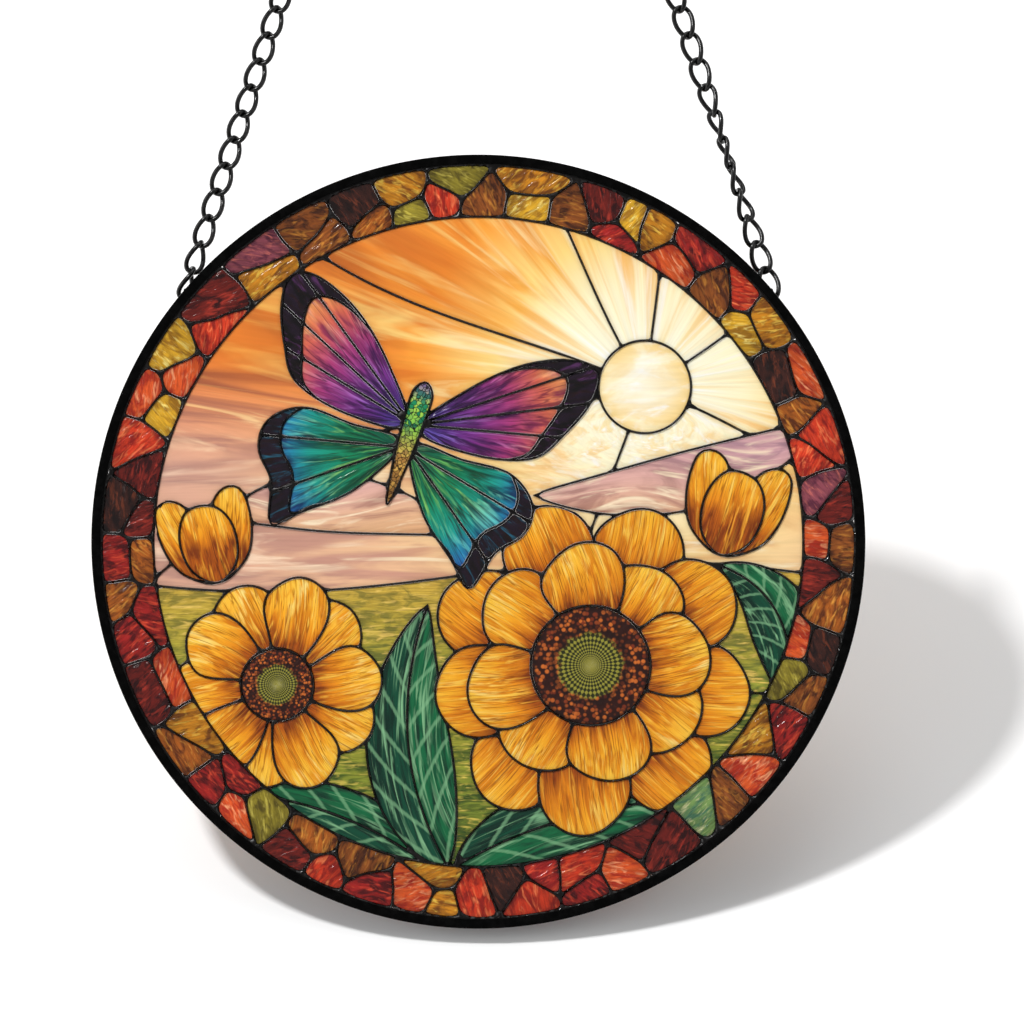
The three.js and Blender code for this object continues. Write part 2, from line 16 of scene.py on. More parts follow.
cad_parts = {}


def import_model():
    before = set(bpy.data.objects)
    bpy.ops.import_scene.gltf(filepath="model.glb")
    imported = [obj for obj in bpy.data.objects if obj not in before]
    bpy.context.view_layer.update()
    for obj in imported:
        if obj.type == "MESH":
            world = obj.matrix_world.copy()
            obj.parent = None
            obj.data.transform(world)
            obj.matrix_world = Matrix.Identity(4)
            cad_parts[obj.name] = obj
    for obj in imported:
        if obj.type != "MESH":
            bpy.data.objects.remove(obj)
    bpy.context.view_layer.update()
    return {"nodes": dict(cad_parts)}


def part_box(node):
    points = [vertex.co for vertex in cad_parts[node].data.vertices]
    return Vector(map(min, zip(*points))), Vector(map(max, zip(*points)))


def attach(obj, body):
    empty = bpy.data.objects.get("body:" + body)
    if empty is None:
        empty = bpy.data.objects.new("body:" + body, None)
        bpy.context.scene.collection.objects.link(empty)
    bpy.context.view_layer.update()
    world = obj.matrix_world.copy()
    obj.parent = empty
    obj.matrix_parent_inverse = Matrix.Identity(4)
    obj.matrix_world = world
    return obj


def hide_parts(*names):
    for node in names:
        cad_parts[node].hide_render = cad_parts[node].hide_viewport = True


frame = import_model()

MM = 0.001
TAU = 2 * math.pi

# ---- Sizes that the solids share ----
GLASS = 3
PICTURE_RADIUS = 84
LEAD = 0.6
LEAD_PROUD = 0.45
RIM_FACE = 2.3
RIM_WALL = 0.7
GROOVE = 1.7
BORDER_OUTER = 97.4
GLASS_RADIUS = 99
WIRE = 1.05
LINK_PITCH = 7.1
LINK_WIDTH = 5.7
LINK_TWIST = math.pi / 4
LINK_WIRE = 1.28
LINKS = 34
CHAIN_ANGLE = math.radians(18)
LEFT_ROLLS = [64, 40, 20, 10]
RIGHT_ROLLS = [4, 14, 34, 58, 76, 92, 110, 136, 160]
TOP_ROLLS = {-1: 45, 1: 225}
RING_RADIUS = 6.6
RING_WIRE = 1.6
EYE_WIDTH = 4.2
EYE_HEIGHT = 3.4
EYE_INSET = 0.9
PLAY = 0.3

rim_low, rim_high = (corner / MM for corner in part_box("rim"))
DISC_X, PANEL_Y, DISC_Z = (rim_low + rim_high) / 2
RADIUS = (rim_high.x - rim_low.x) / 2
RIM_DEPTH = rim_high.y - rim_low.y
HALF_GLASS = GLASS / 2
LINK_HALF = (LINK_PITCH + WIRE) / 2
FIRST_LINK = RING_RADIUS - RING_WIRE / 2 - WIRE / 2 - PLAY + LINK_HALF
CHAIN_LENGTH = FIRST_LINK + (LINKS - 1) * LINK_PITCH + LINK_HALF

# ---- Camera: level, square to the glass, with the disc a little left of and below the middle ----
VIEW_WIDTH = 264.5
VIEW_DISTANCE = 2400
VIEW_SHIFT = (8.7, 7.65)
SENSOR = 36

camera = bpy.data.objects.new("camera", bpy.data.cameras.new("camera"))
bpy.context.scene.collection.objects.link(camera)
camera.data.sensor_width = SENSOR
camera.data.lens = SENSOR * VIEW_DISTANCE / VIEW_WIDTH
camera.data.clip_end = 100
camera.location = (
    (DISC_X + VIEW_SHIFT[0]) * MM,
    (rim_low.y - VIEW_DISTANCE) * MM,
    (DISC_Z + VIEW_SHIFT[1]) * MM,
)
camera.rotation_euler = Euler((math.pi / 2, 0, 0))
bpy.context.scene.camera = camera


# ---- Flat shapes ----
def polar(radius, angle):
    return cmath.rect(radius, angle)


def mix(a, b, share):
    return a + (b - a) * share


def random_from(seed):
    """Repeatable numbers from 0 to 1, the same as those of the solids."""
    state = seed

    def draw():
        nonlocal state
        state = (state * 1664525 + 1013904223) % 4294967296
        return state / 4294967296

    return draw


def circle(radius, centre=0, steps=90):
    return [centre + polar(radius, TAU * i / steps) for i in range(steps)]


def spline_at(points, at):
    """A point of the closed spline through the points. Whole numbers give the points themselves."""
    whole = math.floor(at)
    share = at - whole
    a, b, c, d = (points[(whole + k) % len(points)] for k in (-1, 0, 1, 2))
    start, end = (c - a) / 2, (d - b) / 2
    cubic = (2 * b - 2 * c + start + end) * share**3
    square = (3 * c - 3 * b - 2 * start - end) * share**2
    return cubic + square + start * share + b


def rounded(points, steps):
    return [spline_at(points, i / steps * len(points)) for i in range(steps)]


def mirrored(outline):
    return [complex(-p.real, p.imag) for p in reversed(outline)]


def bezier(start, through, end, share):
    back = 1 - share
    return back * back * start + 2 * back * share * through + share * share * end


def blade(start, through, end, width, widest, power, steps=34, dense_tip=False):
    """A leaf or petal along a bent midrib, widest at this share of its length."""
    shift = math.log(0.5) / math.log(widest)
    shares = [(i + 1) / steps for i in range(steps - 1)]
    if dense_tip:
        shares = [math.sin(math.pi / 2 * share) for share in shares]
    sides = ([], [])
    for share in shares:
        along = 2 * (1 - share) * (through - start) + 2 * share * (end - through)
        half = width / 2 * math.sin(math.pi * share**shift) ** power
        normal = -1j * along / abs(along)
        middle = bezier(start, through, end, share)
        for side, sign in zip(sides, (1, -1)):
            side.append(middle + sign * half * normal)
    return [start, *sides[0], end, *reversed(sides[1])]


def piece(name, outline, kind, ribs=(), local=None, group=None):
    """One piece of the picture. local turns a point into the piece's own lengthwise and crosswise."""
    return {
        "name": name,
        "outline": outline,
        "kind": kind,
        "ribs": ribs,
        "local": local,
        "group": group or name,
    }


# ---- The picture: a butterfly over golden poppies at sunrise ----
BUTTERFLY = -18 + 27j
BUTTERFLY_TURN = math.radians(-18)
FOREWING = [
    1.3 + 2.6j, 10.5 + 16j, 22 + 26.5j, 34 + 32j, 41.5 + 31j, 42 + 23j, 38 + 13j, 32 + 4.5j, 17 + 0.8j,
]
HINDWING = [
    1.3 - 1.8j, 15 - 1.3j, 28 - 1j, 36 - 7j, 36 - 15j, 30.5 - 21.5j, 27 - 32.5j, 20.5 - 27j, 9 - 17j,
]
BODY = [15j, -2.6 + 12j, -2.6 + 4j, -1.9 - 7j, -19j, 1.9 - 7j, 2.6 + 4j, 2.6 + 12j]
WING_BAND = 0.2
WINGS = [
    ("forewing", FOREWING, 0.5 + 3.5j, (36, 25, 13)),
    ("hindwing", HINDWING, 1 - 3j, (-13, -37)),
]
SUN = 43 + 40j
SUN_RADIUS = 12
RAY_ANGLES = [-20, 28, 82, 122, 156, 196, 250]
LARGE_POPPY = 29 - 32j
LEFT_POPPY = -52 - 37j


def wing_ribs(points, root, veins):
    """The veins of a wing, and the inner edge of its dark border."""
    coarse = 18
    far = [i for i in range(coarse) if abs(spline_at(points, i / coarse * len(points)) - root) > 21]
    gaps = [i for i in far if (i - 1) % coarse not in far]
    first = gaps[0]
    count = len(far)
    band = []
    for step in range(count * 4 - 3):
        at = (first + step / 4) / coarse * len(points)
        share = step / (count * 4 - 4)
        inward = WING_BAND * math.sqrt(max(math.sin(math.pi * share), 0))
        band.append(mix(root, spline_at(points, at), 1.03 - inward))
    reach = [root + polar(r, 0) - root for r in np.arange(0, 70.1, 2)]
    return [[root + p * polar(1, math.radians(vein)) for p in reach] for vein in veins] + [band]


def butterfly():
    turn = polar(1, BUTTERFLY_TURN)

    def placed(outline):
        return [BUTTERFLY + p * turn for p in outline]

    made = [piece("butterfly_body", placed(rounded(BODY, 48)), "body", local=(BUTTERFLY, turn))]
    for name, points, root, veins in WINGS:
        outline = rounded(points, 90)
        ribs = wing_ribs(points, root, veins)
        for side, flip in (("right", lambda line: line), ("left", mirrored)):
            made.append(
                piece(
                    f"{side}_{name}",
                    placed(flip(outline)),
                    name,
                    [placed(flip(rib)) for rib in ribs],
                    local=(placed(flip([root]))[0], turn),
                )
            )
    return made


def poppy(name, centre, heart, layers, group=None):
    draw = random_from(len(name))
    made = [piece(f"{name}_stamens", circle(heart, centre, 84), "stamens", local=(centre, heart))]
    for layer, count, start, length, width in layers:
        in_front = math.ceil(count / 2)
        for i in range(count):
            place = i * 2 if i < in_front else (i - in_front) * 2 + 1
            angle = math.radians(start) + place / count * TAU
            reach = length * mix(0.94, 1.04, draw())
            bend = width * mix(-0.22, 0.22, draw())
            through = centre + polar(reach * 0.6, angle) + polar(bend, angle + math.pi / 2)
            tip = centre + polar(reach, angle)
            outline = blade(centre, through, tip, width, 0.68, 0.55, dense_tip=True)
            local = (centre, through, tip)
            made.append(piece(f"{name}_{layer}_{place + 1}", outline, "petal", (), local, group))
    return made


def cup(name, centre, size, turn):
    front = [-1j, 0.5 - 0.62j, 0.6 + 0.1j, 0.3 + 0.62j, -0.3 + 0.66j, -0.6 + 0.1j, -0.5 - 0.62j]
    side = [-1j, 0.72 - 0.62j, 1 + 0.1j, 0.95 + 0.85j, 0.55 + 0.95j, 0.2 + 0.55j, -0.2j]
    made = []
    for where, points, flip in (("front", front, 0), ("right", side, 0), ("left", side, 1)):
        outline = rounded([p * size for p in points], 52)
        outline = mirrored(outline) if flip else outline
        turned = polar(1, math.radians(turn))
        lean = {"front": 0, "right": 0.5, "left": -0.5}[where] * size
        ends = [centre + p * turned for p in (-1.2j * size, lean, 1.4 * lean + 1j * size)]
        placed = [centre + p * turned for p in outline]
        made.append(piece(f"{name}_{where}_petal", placed, "petal", (), ends, f"{name}_petals"))
    return made


def leaf(name, start, through, end, width):
    outline = blade(start, through, end, width, 0.42, 0.8)
    midrib = [bezier(start, through, end, i / 30) for i in range(31)]
    return piece(name, outline, "leaf", [midrib], (start, through, end))


def cloud(name, start, through, end, width):
    return piece(name, blade(start, through, end, width, 0.5, 0.8), "cloud")


def ground(name, height, wave, phase):
    steps = 110
    across = [mix(RADIUS, -RADIUS, i / steps) for i in range(steps + 1)]
    top = [complex(x, height + wave * math.sin(x / 31 + phase)) for x in across]
    return piece(name, [complex(-RADIUS, -RADIUS), complex(RADIUS, -RADIUS), *top], name)


def sky():
    far, steps = 170, 80

    def ray(angle):
        bends = [math.radians(7) * math.sin(angle * 2.3) * math.sin(5 * i / steps) for i in range(steps + 1)]
        return [SUN + polar(far * i / steps, math.radians(angle) + bend) for i, bend in enumerate(bends)]

    rays = [ray(angle) for angle in RAY_ANGLES]
    panes = zip(rays, rays[1:] + rays[:1])
    return [
        piece(f"sky_pane_{i + 1}", [*this, *reversed(following[1:])], "sky")
        for i, (this, following) in enumerate(panes)
    ]


PICTURE = [
    *butterfly(),
    *poppy("large_poppy", LARGE_POPPY, 15.5, [("inner_petal", 8, 10, 32, 22), ("outer_petal", 9, 31, 43, 24)]),
    *poppy("left_poppy", LEFT_POPPY, 9.5, [("petal", 10, 8, 28, 17)], "left_poppy_petals"),
    *cup("right_bloom", 66 + 9j, 13, -16),
    *cup("left_bloom", -70 + 1j, 12, 14),
    leaf("centre_leaf", -8 - 84j, -26 - 52j, -13 - 16j, 22),
    leaf("lower_leaf", -6 - 84j, 24 - 66j, 66 - 66j, 19),
    leaf("left_leaf", -10 - 86j, -34 - 66j, -70 - 64j, 15),
    leaf("right_leaf", 80 - 42j, 84 - 14j, 62 - 6j, 17),
    piece("sun", circle(SUN_RADIUS, SUN, 72), "sun"),
    ground("meadow", -38, 3, 1.2),
    ground("hills", -9, 4, 0.2),
    cloud("left_cloud", -66 + 6j, -40 + 16j, -4 + 2j, 15),
    cloud("right_cloud", 90 + 32j, 58 + 10j, 14 + 12j, 15),
    *sky(),
]

# ---- The mosaic border ----
STONE_ROWS = [(93.4, 44, 2.2), (87.4, 40, 1.5)]
STONE_REACH = 24
STONE_STEP = 1.1
STONE_WANDER = 0.9


def nearer(outline, a, b):
    """The part of a convex outline nearer to a than to b."""
    normal = (b - a) / abs(b - a)
    middle = (a + b) / 2
    depths = [((p - middle) * normal.conjugate()).real for p in outline]
    kept = []
    for i, p in enumerate(outline):
        here, there = depths[i], depths[(i + 1) % len(outline)]
        if here <= 0:
            kept.append(p)
        if here * there < 0:
            kept.append(mix(p, outline[(i + 1) % len(outline)], here / (here - there)))
    return kept


def wandered(p):
    """Bends the straight sides of the stones like hand-cut glass."""
    moved = noise.noise_vector(Vector((p.real / 7, p.imag / 7, 3.7)))
    return p + STONE_WANDER * complex(moved.x, moved.y)


def stones():
    draw = random_from(7)
    seeds = []
    for radius, count, jitter in STONE_ROWS:
        widths = [mix(0.45, 1.7, draw()) for _ in range(count)]
        turned = np.cumsum(widths) / sum(widths)
        seeds += [polar(radius + mix(-jitter, jitter, draw()), TAU * at) for at in turned]
    made = []
    for i, seed in enumerate(seeds):
        outline = circle(STONE_REACH, seed, 4)
        for other in seeds:
            if other != seed and abs(other - seed) < 2 * STONE_REACH:
                outline = nearer(outline, seed, other)
        bent = []
        for a, b in zip(outline, outline[1:] + outline[:1]):
            steps = math.ceil(abs(b - a) / STONE_STEP)
            bent += [wandered(mix(a, b, k / steps)) for k in range(steps)]
        quarter = ("top", "left", "bottom", "right")[int((cmath.phase(seed * -1j) / TAU * 4 + 0.5) % 4)]
        made.append(piece(f"stone_{i}", bent, "stone", (), (seed, i), f"border_{quarter}"))
    return made


BORDER = stones()


# ---- Planar geometry ----
def inside(loops, points):
    """Which points lie inside the closed loops, by the even-odd rule."""
    crossings = np.zeros(len(points), int)
    x, y = points.real[:, None], points.imag[:, None]
    for loop in loops:
        a = np.asarray(loop)
        b = np.roll(a, -1)
        rise = np.where(a.imag == b.imag, 1, b.imag - a.imag)
        spans = (a.imag <= y) != (b.imag <= y)
        at = a.real + (y - a.imag) / rise * (b.real - a.real)
        crossings += (spans & (x < at)).sum(1)
    return crossings % 2 == 1


def distance(points, loops):
    """From each point to the nearest side of the closed loops."""
    nearest = np.full(len(points), np.inf)
    for loop in loops:
        a = np.asarray(loop)
        side = np.roll(a, -1) - a
        to = points[:, None] - a
        share = (to * side.conj()).real / np.maximum(abs(side) ** 2, 1e-12)
        nearest = np.minimum(nearest, abs(to - np.clip(share, 0, 1) * side).min(1))
    return nearest


def area(loop):
    a = np.asarray(loop)
    return (a.conj() * np.roll(a, -1)).imag.sum() / 2


def triangulate(points, edges):
    """Points and triangles, and which given points and edges each made point and edge stands for."""
    flat = [Vector((p.real, p.imag)) for p in points]
    verts, sides, faces, from_points, from_edges, _ = delaunay_2d_cdt(flat, edges, [], 0, 1e-4)
    made = np.array([complex(v[0], v[1]) for v in verts])
    triangles = np.array(faces, int)
    a, b, c = made[triangles].T
    backwards = ((b - a).conj() * (c - a)).imag < 0
    triangles[backwards] = triangles[backwards][:, ::-1]
    return made, triangles, from_points, (sides, from_edges)


def loop_edges(start, count):
    return [(start + i, start + (i + 1) % count) for i in range(count)]


# ---- The net of lines: where each piece is in sight, and the cells between the lines ----
SPACING = 0.85
SMALLEST_CELL = 1.5


def network():
    """The points of the net, and each cell as its piece and the loops of points round it."""
    points, edges, rib_of = [], [], {}

    def add(path, closed, rib=None):
        start = len(points)
        points.extend(path)
        new = loop_edges(start, len(path))[: None if closed else -1]
        if rib is not None:
            rib_of.update({len(edges) + k: rib for k in range(len(new))})
        edges.extend(new)

    inner, outer = circle(PICTURE_RADIUS, 0, 240), circle(BORDER_OUTER, 0, 300)
    add(inner, True)
    add(outer, True)
    pieces = PICTURE + BORDER
    for index, made in enumerate(pieces):
        add(made["outline"], True)
        for rib in made["ribs"]:
            add(rib, False, index)
    verts, triangles, _, (sides, from_edges) = triangulate(points, edges)

    middles = verts[triangles].mean(1)
    labels = np.full(len(triangles), -1)
    in_picture = inside([inner], middles)
    in_border = inside([outer], middles) & ~in_picture
    for index, made in enumerate(pieces):
        where = in_picture if index < len(PICTURE) else in_border
        free = np.flatnonzero(where & (labels < 0))
        labels[free[inside([made["outline"]], middles[free])]] = index

    ribs = {}
    for side, sources in zip(sides, from_edges):
        for source in sources:
            if source in rib_of:
                ribs.setdefault((min(side), max(side)), set()).add(rib_of[source])
    at_side = {}
    for t, (a, b, c) in enumerate(triangles.tolist()):
        at_side.update({(a, b): t, (b, c): t, (c, a): t})

    def is_line(a, b):
        here, there = at_side[a, b], at_side.get((b, a))
        if there is None or labels[here] != labels[there]:
            return True
        return labels[here] in ribs.get((min(a, b), max(a, b)), ())

    cells, seen = [], set()
    for first in range(len(triangles)):
        if first in seen or labels[first] < 0:
            continue
        seen.add(first)
        queue, directed = [first], []
        while queue:
            a, b, c = triangles[queue.pop()].tolist()
            for side in ((a, b), (b, c), (c, a)):
                if is_line(*side):
                    directed.append(side)
                elif at_side[side[::-1]] not in seen:
                    seen.add(at_side[side[::-1]])
                    queue.append(at_side[side[::-1]])
        cells.append((pieces[labels[first]], directed))
    return verts, cells


def traced(directed, verts):
    """The closed loops that directed sides make, with the cell on their left."""
    after = {}
    for a, b in directed:
        after.setdefault(a, []).append(b)
    loops = []
    while after:
        start = next(iter(after))
        loop = [start]
        here, came = after[start][0], start
        remove(after, start, here)
        while here != start:
            loop.append(here)
            back = cmath.phase(verts[came] - verts[here])
            turn = {n: (back - cmath.phase(verts[n] - verts[here])) % TAU or TAU for n in after[here]}
            following = min(turn, key=turn.get)
            remove(after, here, following)
            came, here = here, following
        loops.append(loop)
    return loops


def remove(after, a, b):
    after[a].remove(b)
    if not after[a]:
        del after[a]


def kept_points(verts, cells):
    """The points of the net that its finished lines go through: junctions, and others spaced evenly."""
    around = {}
    for _, directed in cells:
        for a, b in directed:
            around.setdefault(a, set()).add(b)
            around.setdefault(b, set()).add(a)
    kept = {v for v, near in around.items() if len(near) != 2}
    walked = set()

    def walk(start, following):
        chain = [start, following]
        while chain[-1] not in kept and chain[-1] != start:
            chain.append(next(v for v in around[chain[-1]] if v != chain[-2]))
        walked.update(chain[1:-1])
        since = 0
        left = sum(abs(verts[a] - verts[b]) for a, b in zip(chain, chain[1:]))
        for a, b in zip(chain, chain[1:-1]):
            step = abs(verts[b] - verts[a])
            since, left = since + step, left - step
            if since >= SPACING and left > SPACING / 2:
                passed.add(b)
                since = 0

    passed = set()
    for start in sorted(kept):
        for following in sorted(around[start]):
            if following not in walked and following not in kept:
                walk(start, following)
    for start in sorted(set(around) - kept - walked):
        if start not in walked:
            passed.add(start)
            walk(start, min(around[start]))
    return kept | passed


def inset(loop, depth):
    """The loop moved to its left, towards the middle of its cell."""
    before = loop - np.roll(loop, 1)
    before /= abs(before)
    after = np.roll(before, -1)
    bend = 1 + (before.conj() * after).real
    move = 1j * (before + after) * depth / np.maximum(bend, 0.08)
    move = np.where(bend < 0.05, before * depth, move)
    reach = np.where((before.conj() * after).imag > 0, 4 * depth, 1.05 * depth)
    return loop + move * np.minimum(1, reach / np.maximum(abs(move), 1e-9))


def inset_loops(loops, depth, soften=0):
    """The loops moved in by depth, without the parts that would fold over, and with softer corners."""
    made = []
    for loop in loops:
        moved = inset(loop, depth)
        moved = moved[distance(moved, loops) > 0.96 * depth]
        if len(moved) < 4:
            continue
        for _ in range(soften):
            moved = (np.roll(moved, 1) + 2 * moved + np.roll(moved, -1)) / 4
        apart = abs(moved - np.roll(moved, 1)) > 0.12
        moved = moved[apart]
        if len(moved) > 3 and abs(area(moved)) > SMALLEST_CELL:
            made.append(moved)
    return made if made and sum(map(area, made)) > SMALLEST_CELL else []


# ---- Meshes ----
def world(p, y):
    return ((DISC_X + p.real) * MM, (PANEL_Y + y) * MM, (DISC_Z + p.imag) * MM)


def shown(name, verts, faces, material, smooth=True):
    mesh = bpy.data.meshes.new(name)
    mesh.from_pydata(verts, [], faces)
    mesh.validate()
    mesh.materials.append(material)
    if smooth:
        mesh.shade_smooth()
    made = bpy.data.objects.new(name, mesh)
    bpy.context.scene.collection.objects.link(made)
    return made


def closed_body(points, triangles, front, back):
    """A closed body with the flat triangles as its front and back, at these depths."""
    count = len(points)
    verts = [world(p, y) for p, y in zip(points, front)] + [world(p, y) for p, y in zip(points, back)]
    faces = [tuple(t) for t in triangles.tolist()]
    sides = {(t[i], t[(i + 1) % 3]) for t in faces for i in range(3)}
    rim = sorted(side for side in sides if side[::-1] not in sides)
    behind = [(a + count, c + count, b + count) for a, b, c in faces]
    walls = [(b, a, a + count, b + count) for a, b in rim]
    return verts, faces + behind + walls


def sharpen(made, degrees=50):
    made.data.set_sharp_from_angle(angle=math.radians(degrees))
    return made


# ---- Materials ----
def linear(code):
    """The scene colour for a screen colour such as "f5a823"."""
    parts = [int(code[i : i + 2], 16) / 255 for i in (0, 2, 4)]
    return np.array([c / 12.92 if c < 0.04045 else ((c + 0.055) / 1.055) ** 2.4 for c in parts])


class Nodes:
    """A material's nodes, made and joined in one call each."""

    def __init__(self, name, **plain):
        self.material = bpy.data.materials.new(name)
        self.material.use_nodes = True
        self.tree = self.material.node_tree
        self.shader = self.tree.nodes["Principled BSDF"]
        for key, value in plain.items():
            self.shader.inputs[key.replace("_", " ").capitalize() if key == "roughness" else key].default_value = value

    def add(self, kind, output=0, inputs=(), **settings):
        node = self.tree.nodes.new("ShaderNode" + kind)
        for key, value in settings.items():
            setattr(node, key, value)
        for socket, value in dict(inputs).items():
            if isinstance(value, bpy.types.NodeSocket):
                self.tree.links.new(value, node.inputs[socket])
            else:
                node.inputs[socket].default_value = value
        return node.outputs[output]

    def attribute(self, name, output="Vector"):
        return self.add("Attribute", output, attribute_name=name)

    def noise(self, vector, scale, detail=4, rough=0.55, distortion=0, output="Fac"):
        inputs = {"Vector": vector, "Scale": scale, "Detail": detail, "Roughness": rough, "Distortion": distortion}
        return self.add("TexNoise", output, inputs)

    def stretch(self, vector, by):
        return self.add("VectorMath", 0, {0: vector, 1: by}, operation="MULTIPLY")

    def math(self, operation, a, b=0.5, c=0.5):
        return self.add("Math", 0, {0: a, 1: b, 2: c}, operation=operation)

    def span(self, value, low, high, to_low=0.0, to_high=1.0):
        inputs = {0: value, 1: low, 2: high, 3: to_low, 4: to_high}
        return self.add("MapRange", 0, inputs, interpolation_type="SMOOTHSTEP")

    def blend(self, share, a, b, how="MIX"):
        node = self.tree.nodes.new("ShaderNodeMix")
        node.data_type = "RGBA"
        node.blend_type = how
        for socket, value in ((0, share), (6, a), (7, b)):
            if isinstance(value, bpy.types.NodeSocket):
                self.tree.links.new(value, node.inputs[socket])
            else:
                node.inputs[socket].default_value = value
        return node.outputs[2]

    def bump(self, height, strength, depth_mm, below=None):
        inputs = {"Height": height, "Strength": strength, "Distance": depth_mm * MM}
        if below is not None:
            inputs["Normal"] = below
        return self.add("Bump", 0, inputs)

    def surface(self, color=None, rough=None, normal=None):
        for key, value in (("Base Color", color), ("Roughness", rough), ("Normal", normal)):
            if value is not None:
                self.tree.links.new(value, self.shader.inputs[key])
        return self.material


def grey(value):
    return (value, value, value, 1)


def glass_nodes(name, roughness=0.16, see_through=0.22):
    nodes = Nodes(name)
    nodes.shader.inputs["Roughness"].default_value = roughness
    nodes.shader.inputs["Transmission Weight"].default_value = see_through
    nodes.shader.inputs["IOR"].default_value = 1.5
    nodes.shader.inputs["Specular IOR Level"].default_value = 0.3
    return nodes


def streaky_glass(name, wisp=1.0, fibre=0.3, strokes=0.0, veins=0.0, ripple=0.5, rough=0.16):
    """Streaky glass: three colours of each piece drawn out along its grain, with fine fibres.

    strokes draws thin dark lines along the grain and veins draws pale lines slanting from the midrib.
    """
    nodes = glass_nodes(name, rough)
    grain = nodes.attribute("grain")
    tint, shade, light = (nodes.attribute(key, "Color") for key in ("tint", "shade", "light"))
    broad = nodes.noise(grain, 1.0 * wisp, 4, 0.52, 1.3)
    drawn = nodes.noise(nodes.stretch(grain, (1.0, 1.6, 1)), 1.3 * wisp, 4, 0.55, 0.9)
    fine = nodes.noise(nodes.stretch(grain, (0.8, 4, 1)), 1.5, 3, 0.6, 0.3)
    color = nodes.blend(nodes.span(broad, 0.40, 0.64), tint, shade)
    color = nodes.blend(nodes.span(drawn, 0.50, 0.72), color, light)
    level = nodes.span(fine, 0.25, 0.75, 1 - fibre, 1 + fibre * 0.55)
    color = nodes.blend(1.0, color, level, "MULTIPLY")
    if strokes:
        line = nodes.noise(nodes.stretch(grain, (0.3, 1.5, 1)), 1.6, 2, 0.45, 0.15)
        away = nodes.math("ABSOLUTE", nodes.math("SUBTRACT", line, 0.5))
        mask = nodes.span(away, 0.004, 0.030, strokes, 0.0)
        color = nodes.blend(mask, color, nodes.blend(0.5, shade, linear4("2a0e04")))
    if veins:
        at = nodes.attribute("vein", "Fac")
        at = nodes.math("ADD", at, nodes.math("MULTIPLY", drawn, 0.25))
        away = nodes.math("ABSOLUTE", nodes.math("SUBTRACT", nodes.math("FRACT", at), 0.5))
        color = nodes.blend(nodes.span(away, 0.03, 0.13, veins, 0.0), color, light)
    wave = nodes.noise(nodes.stretch(grain, (1, 1.6, 1)), 1.2, 3, 0.5, 0.8)
    normal = nodes.bump(wave, ripple, 0.5)
    normal = nodes.bump(fine, ripple * 0.5, 0.06, normal)
    return nodes.surface(color, None, normal)


def scaled_glass(name, size):
    """Glass painted with small bright scales in dark outlines."""
    nodes = glass_nodes(name, 0.2, 0.12)
    grain = nodes.attribute("grain")
    tint, shade, light = (nodes.attribute(key, "Color") for key in ("tint", "shade", "light"))
    bent = nodes.add("VectorMath", 0, {0: grain, 1: nodes.noise(grain, 0.9, 2, 0.5, 0, "Color")}, operation="ADD")
    inputs = {"Vector": bent, "Scale": 1 / size}
    edge = nodes.add("TexVoronoi", "Distance", inputs, feature="DISTANCE_TO_EDGE")
    pick = nodes.add("TexVoronoi", "Color", inputs)
    color = nodes.blend(nodes.span(pick, 0.3, 0.7), tint, light)
    color = nodes.blend(nodes.span(edge, 0.02, 0.13, 0.95, 0.0), color, shade)
    normal = nodes.bump(edge, 0.4, 0.3)
    return nodes.surface(color, None, normal)


def seeded_glass(name):
    """The heart of a poppy: an olive pod with spiral rows of seeds in a ring of brown stamens."""
    nodes = glass_nodes(name, 0.3, 0.05)
    grain = nodes.attribute("grain")
    out = nodes.add("VectorMath", "Value", {0: grain}, operation="LENGTH")
    split = nodes.tree.nodes.new("ShaderNodeSeparateXYZ")
    nodes.tree.links.new(grain, split.inputs[0])
    around = nodes.math("ARCTAN2", split.outputs[1], split.outputs[0])
    reach = nodes.math("MULTIPLY", nodes.math("LOGARITHM", nodes.math("ADD", out, 0.02), math.e), 17.0)
    left = nodes.math("SINE", nodes.math("ADD", nodes.math("MULTIPLY", around, 21), reach))
    right = nodes.math("SINE", nodes.math("SUBTRACT", nodes.math("MULTIPLY", around, 21), reach))
    seeds = nodes.math("MULTIPLY", left, right)
    pod = nodes.blend(nodes.span(seeds, -0.3, 0.5), linear4("24280e"), linear4("8a8432"))
    pod = nodes.blend(nodes.span(out, 0.0, 0.22, 0.6, 0.0), pod, linear4("a39a3c"))
    warp = nodes.noise(grain, 5, 3, 0.6)
    edge = nodes.math("ADD", out, nodes.math("MULTIPLY", nodes.math("SUBTRACT", warp, 0.5), 0.22))
    dots = {"Vector": grain, "Scale": 13.0, "Randomness": 0.9}
    dot = nodes.add("TexVoronoi", "Distance", dots)
    pick = nodes.add("TexVoronoi", "Color", dots)
    ring = nodes.blend(nodes.span(pick, 0.2, 0.8), linear4("6e2a14"), linear4("c06426"))
    ring = nodes.blend(nodes.span(dot, 0.3, 0.62), ring, linear4("2a0f0a"))
    color = nodes.blend(nodes.span(edge, 0.5, 0.58), pod, ring)
    dark = nodes.math("MULTIPLY", nodes.span(edge, 0.55, 0.6), nodes.span(edge, 0.62, 0.72, 1.0, 0.0))
    color = nodes.blend(nodes.math("MULTIPLY", dark, 0.7), color, linear4("1c0a08"))
    color = nodes.blend(nodes.span(edge, 0.86, 1.02, 0.0, 0.9), color, linear4("160a08"))
    height = nodes.math("ADD", seeds, nodes.math("MULTIPLY", dot, -1.5))
    return nodes.surface(color, None, nodes.bump(height, 0.35, 0.15))


def linear4(code):
    return (*linear(code), 1)


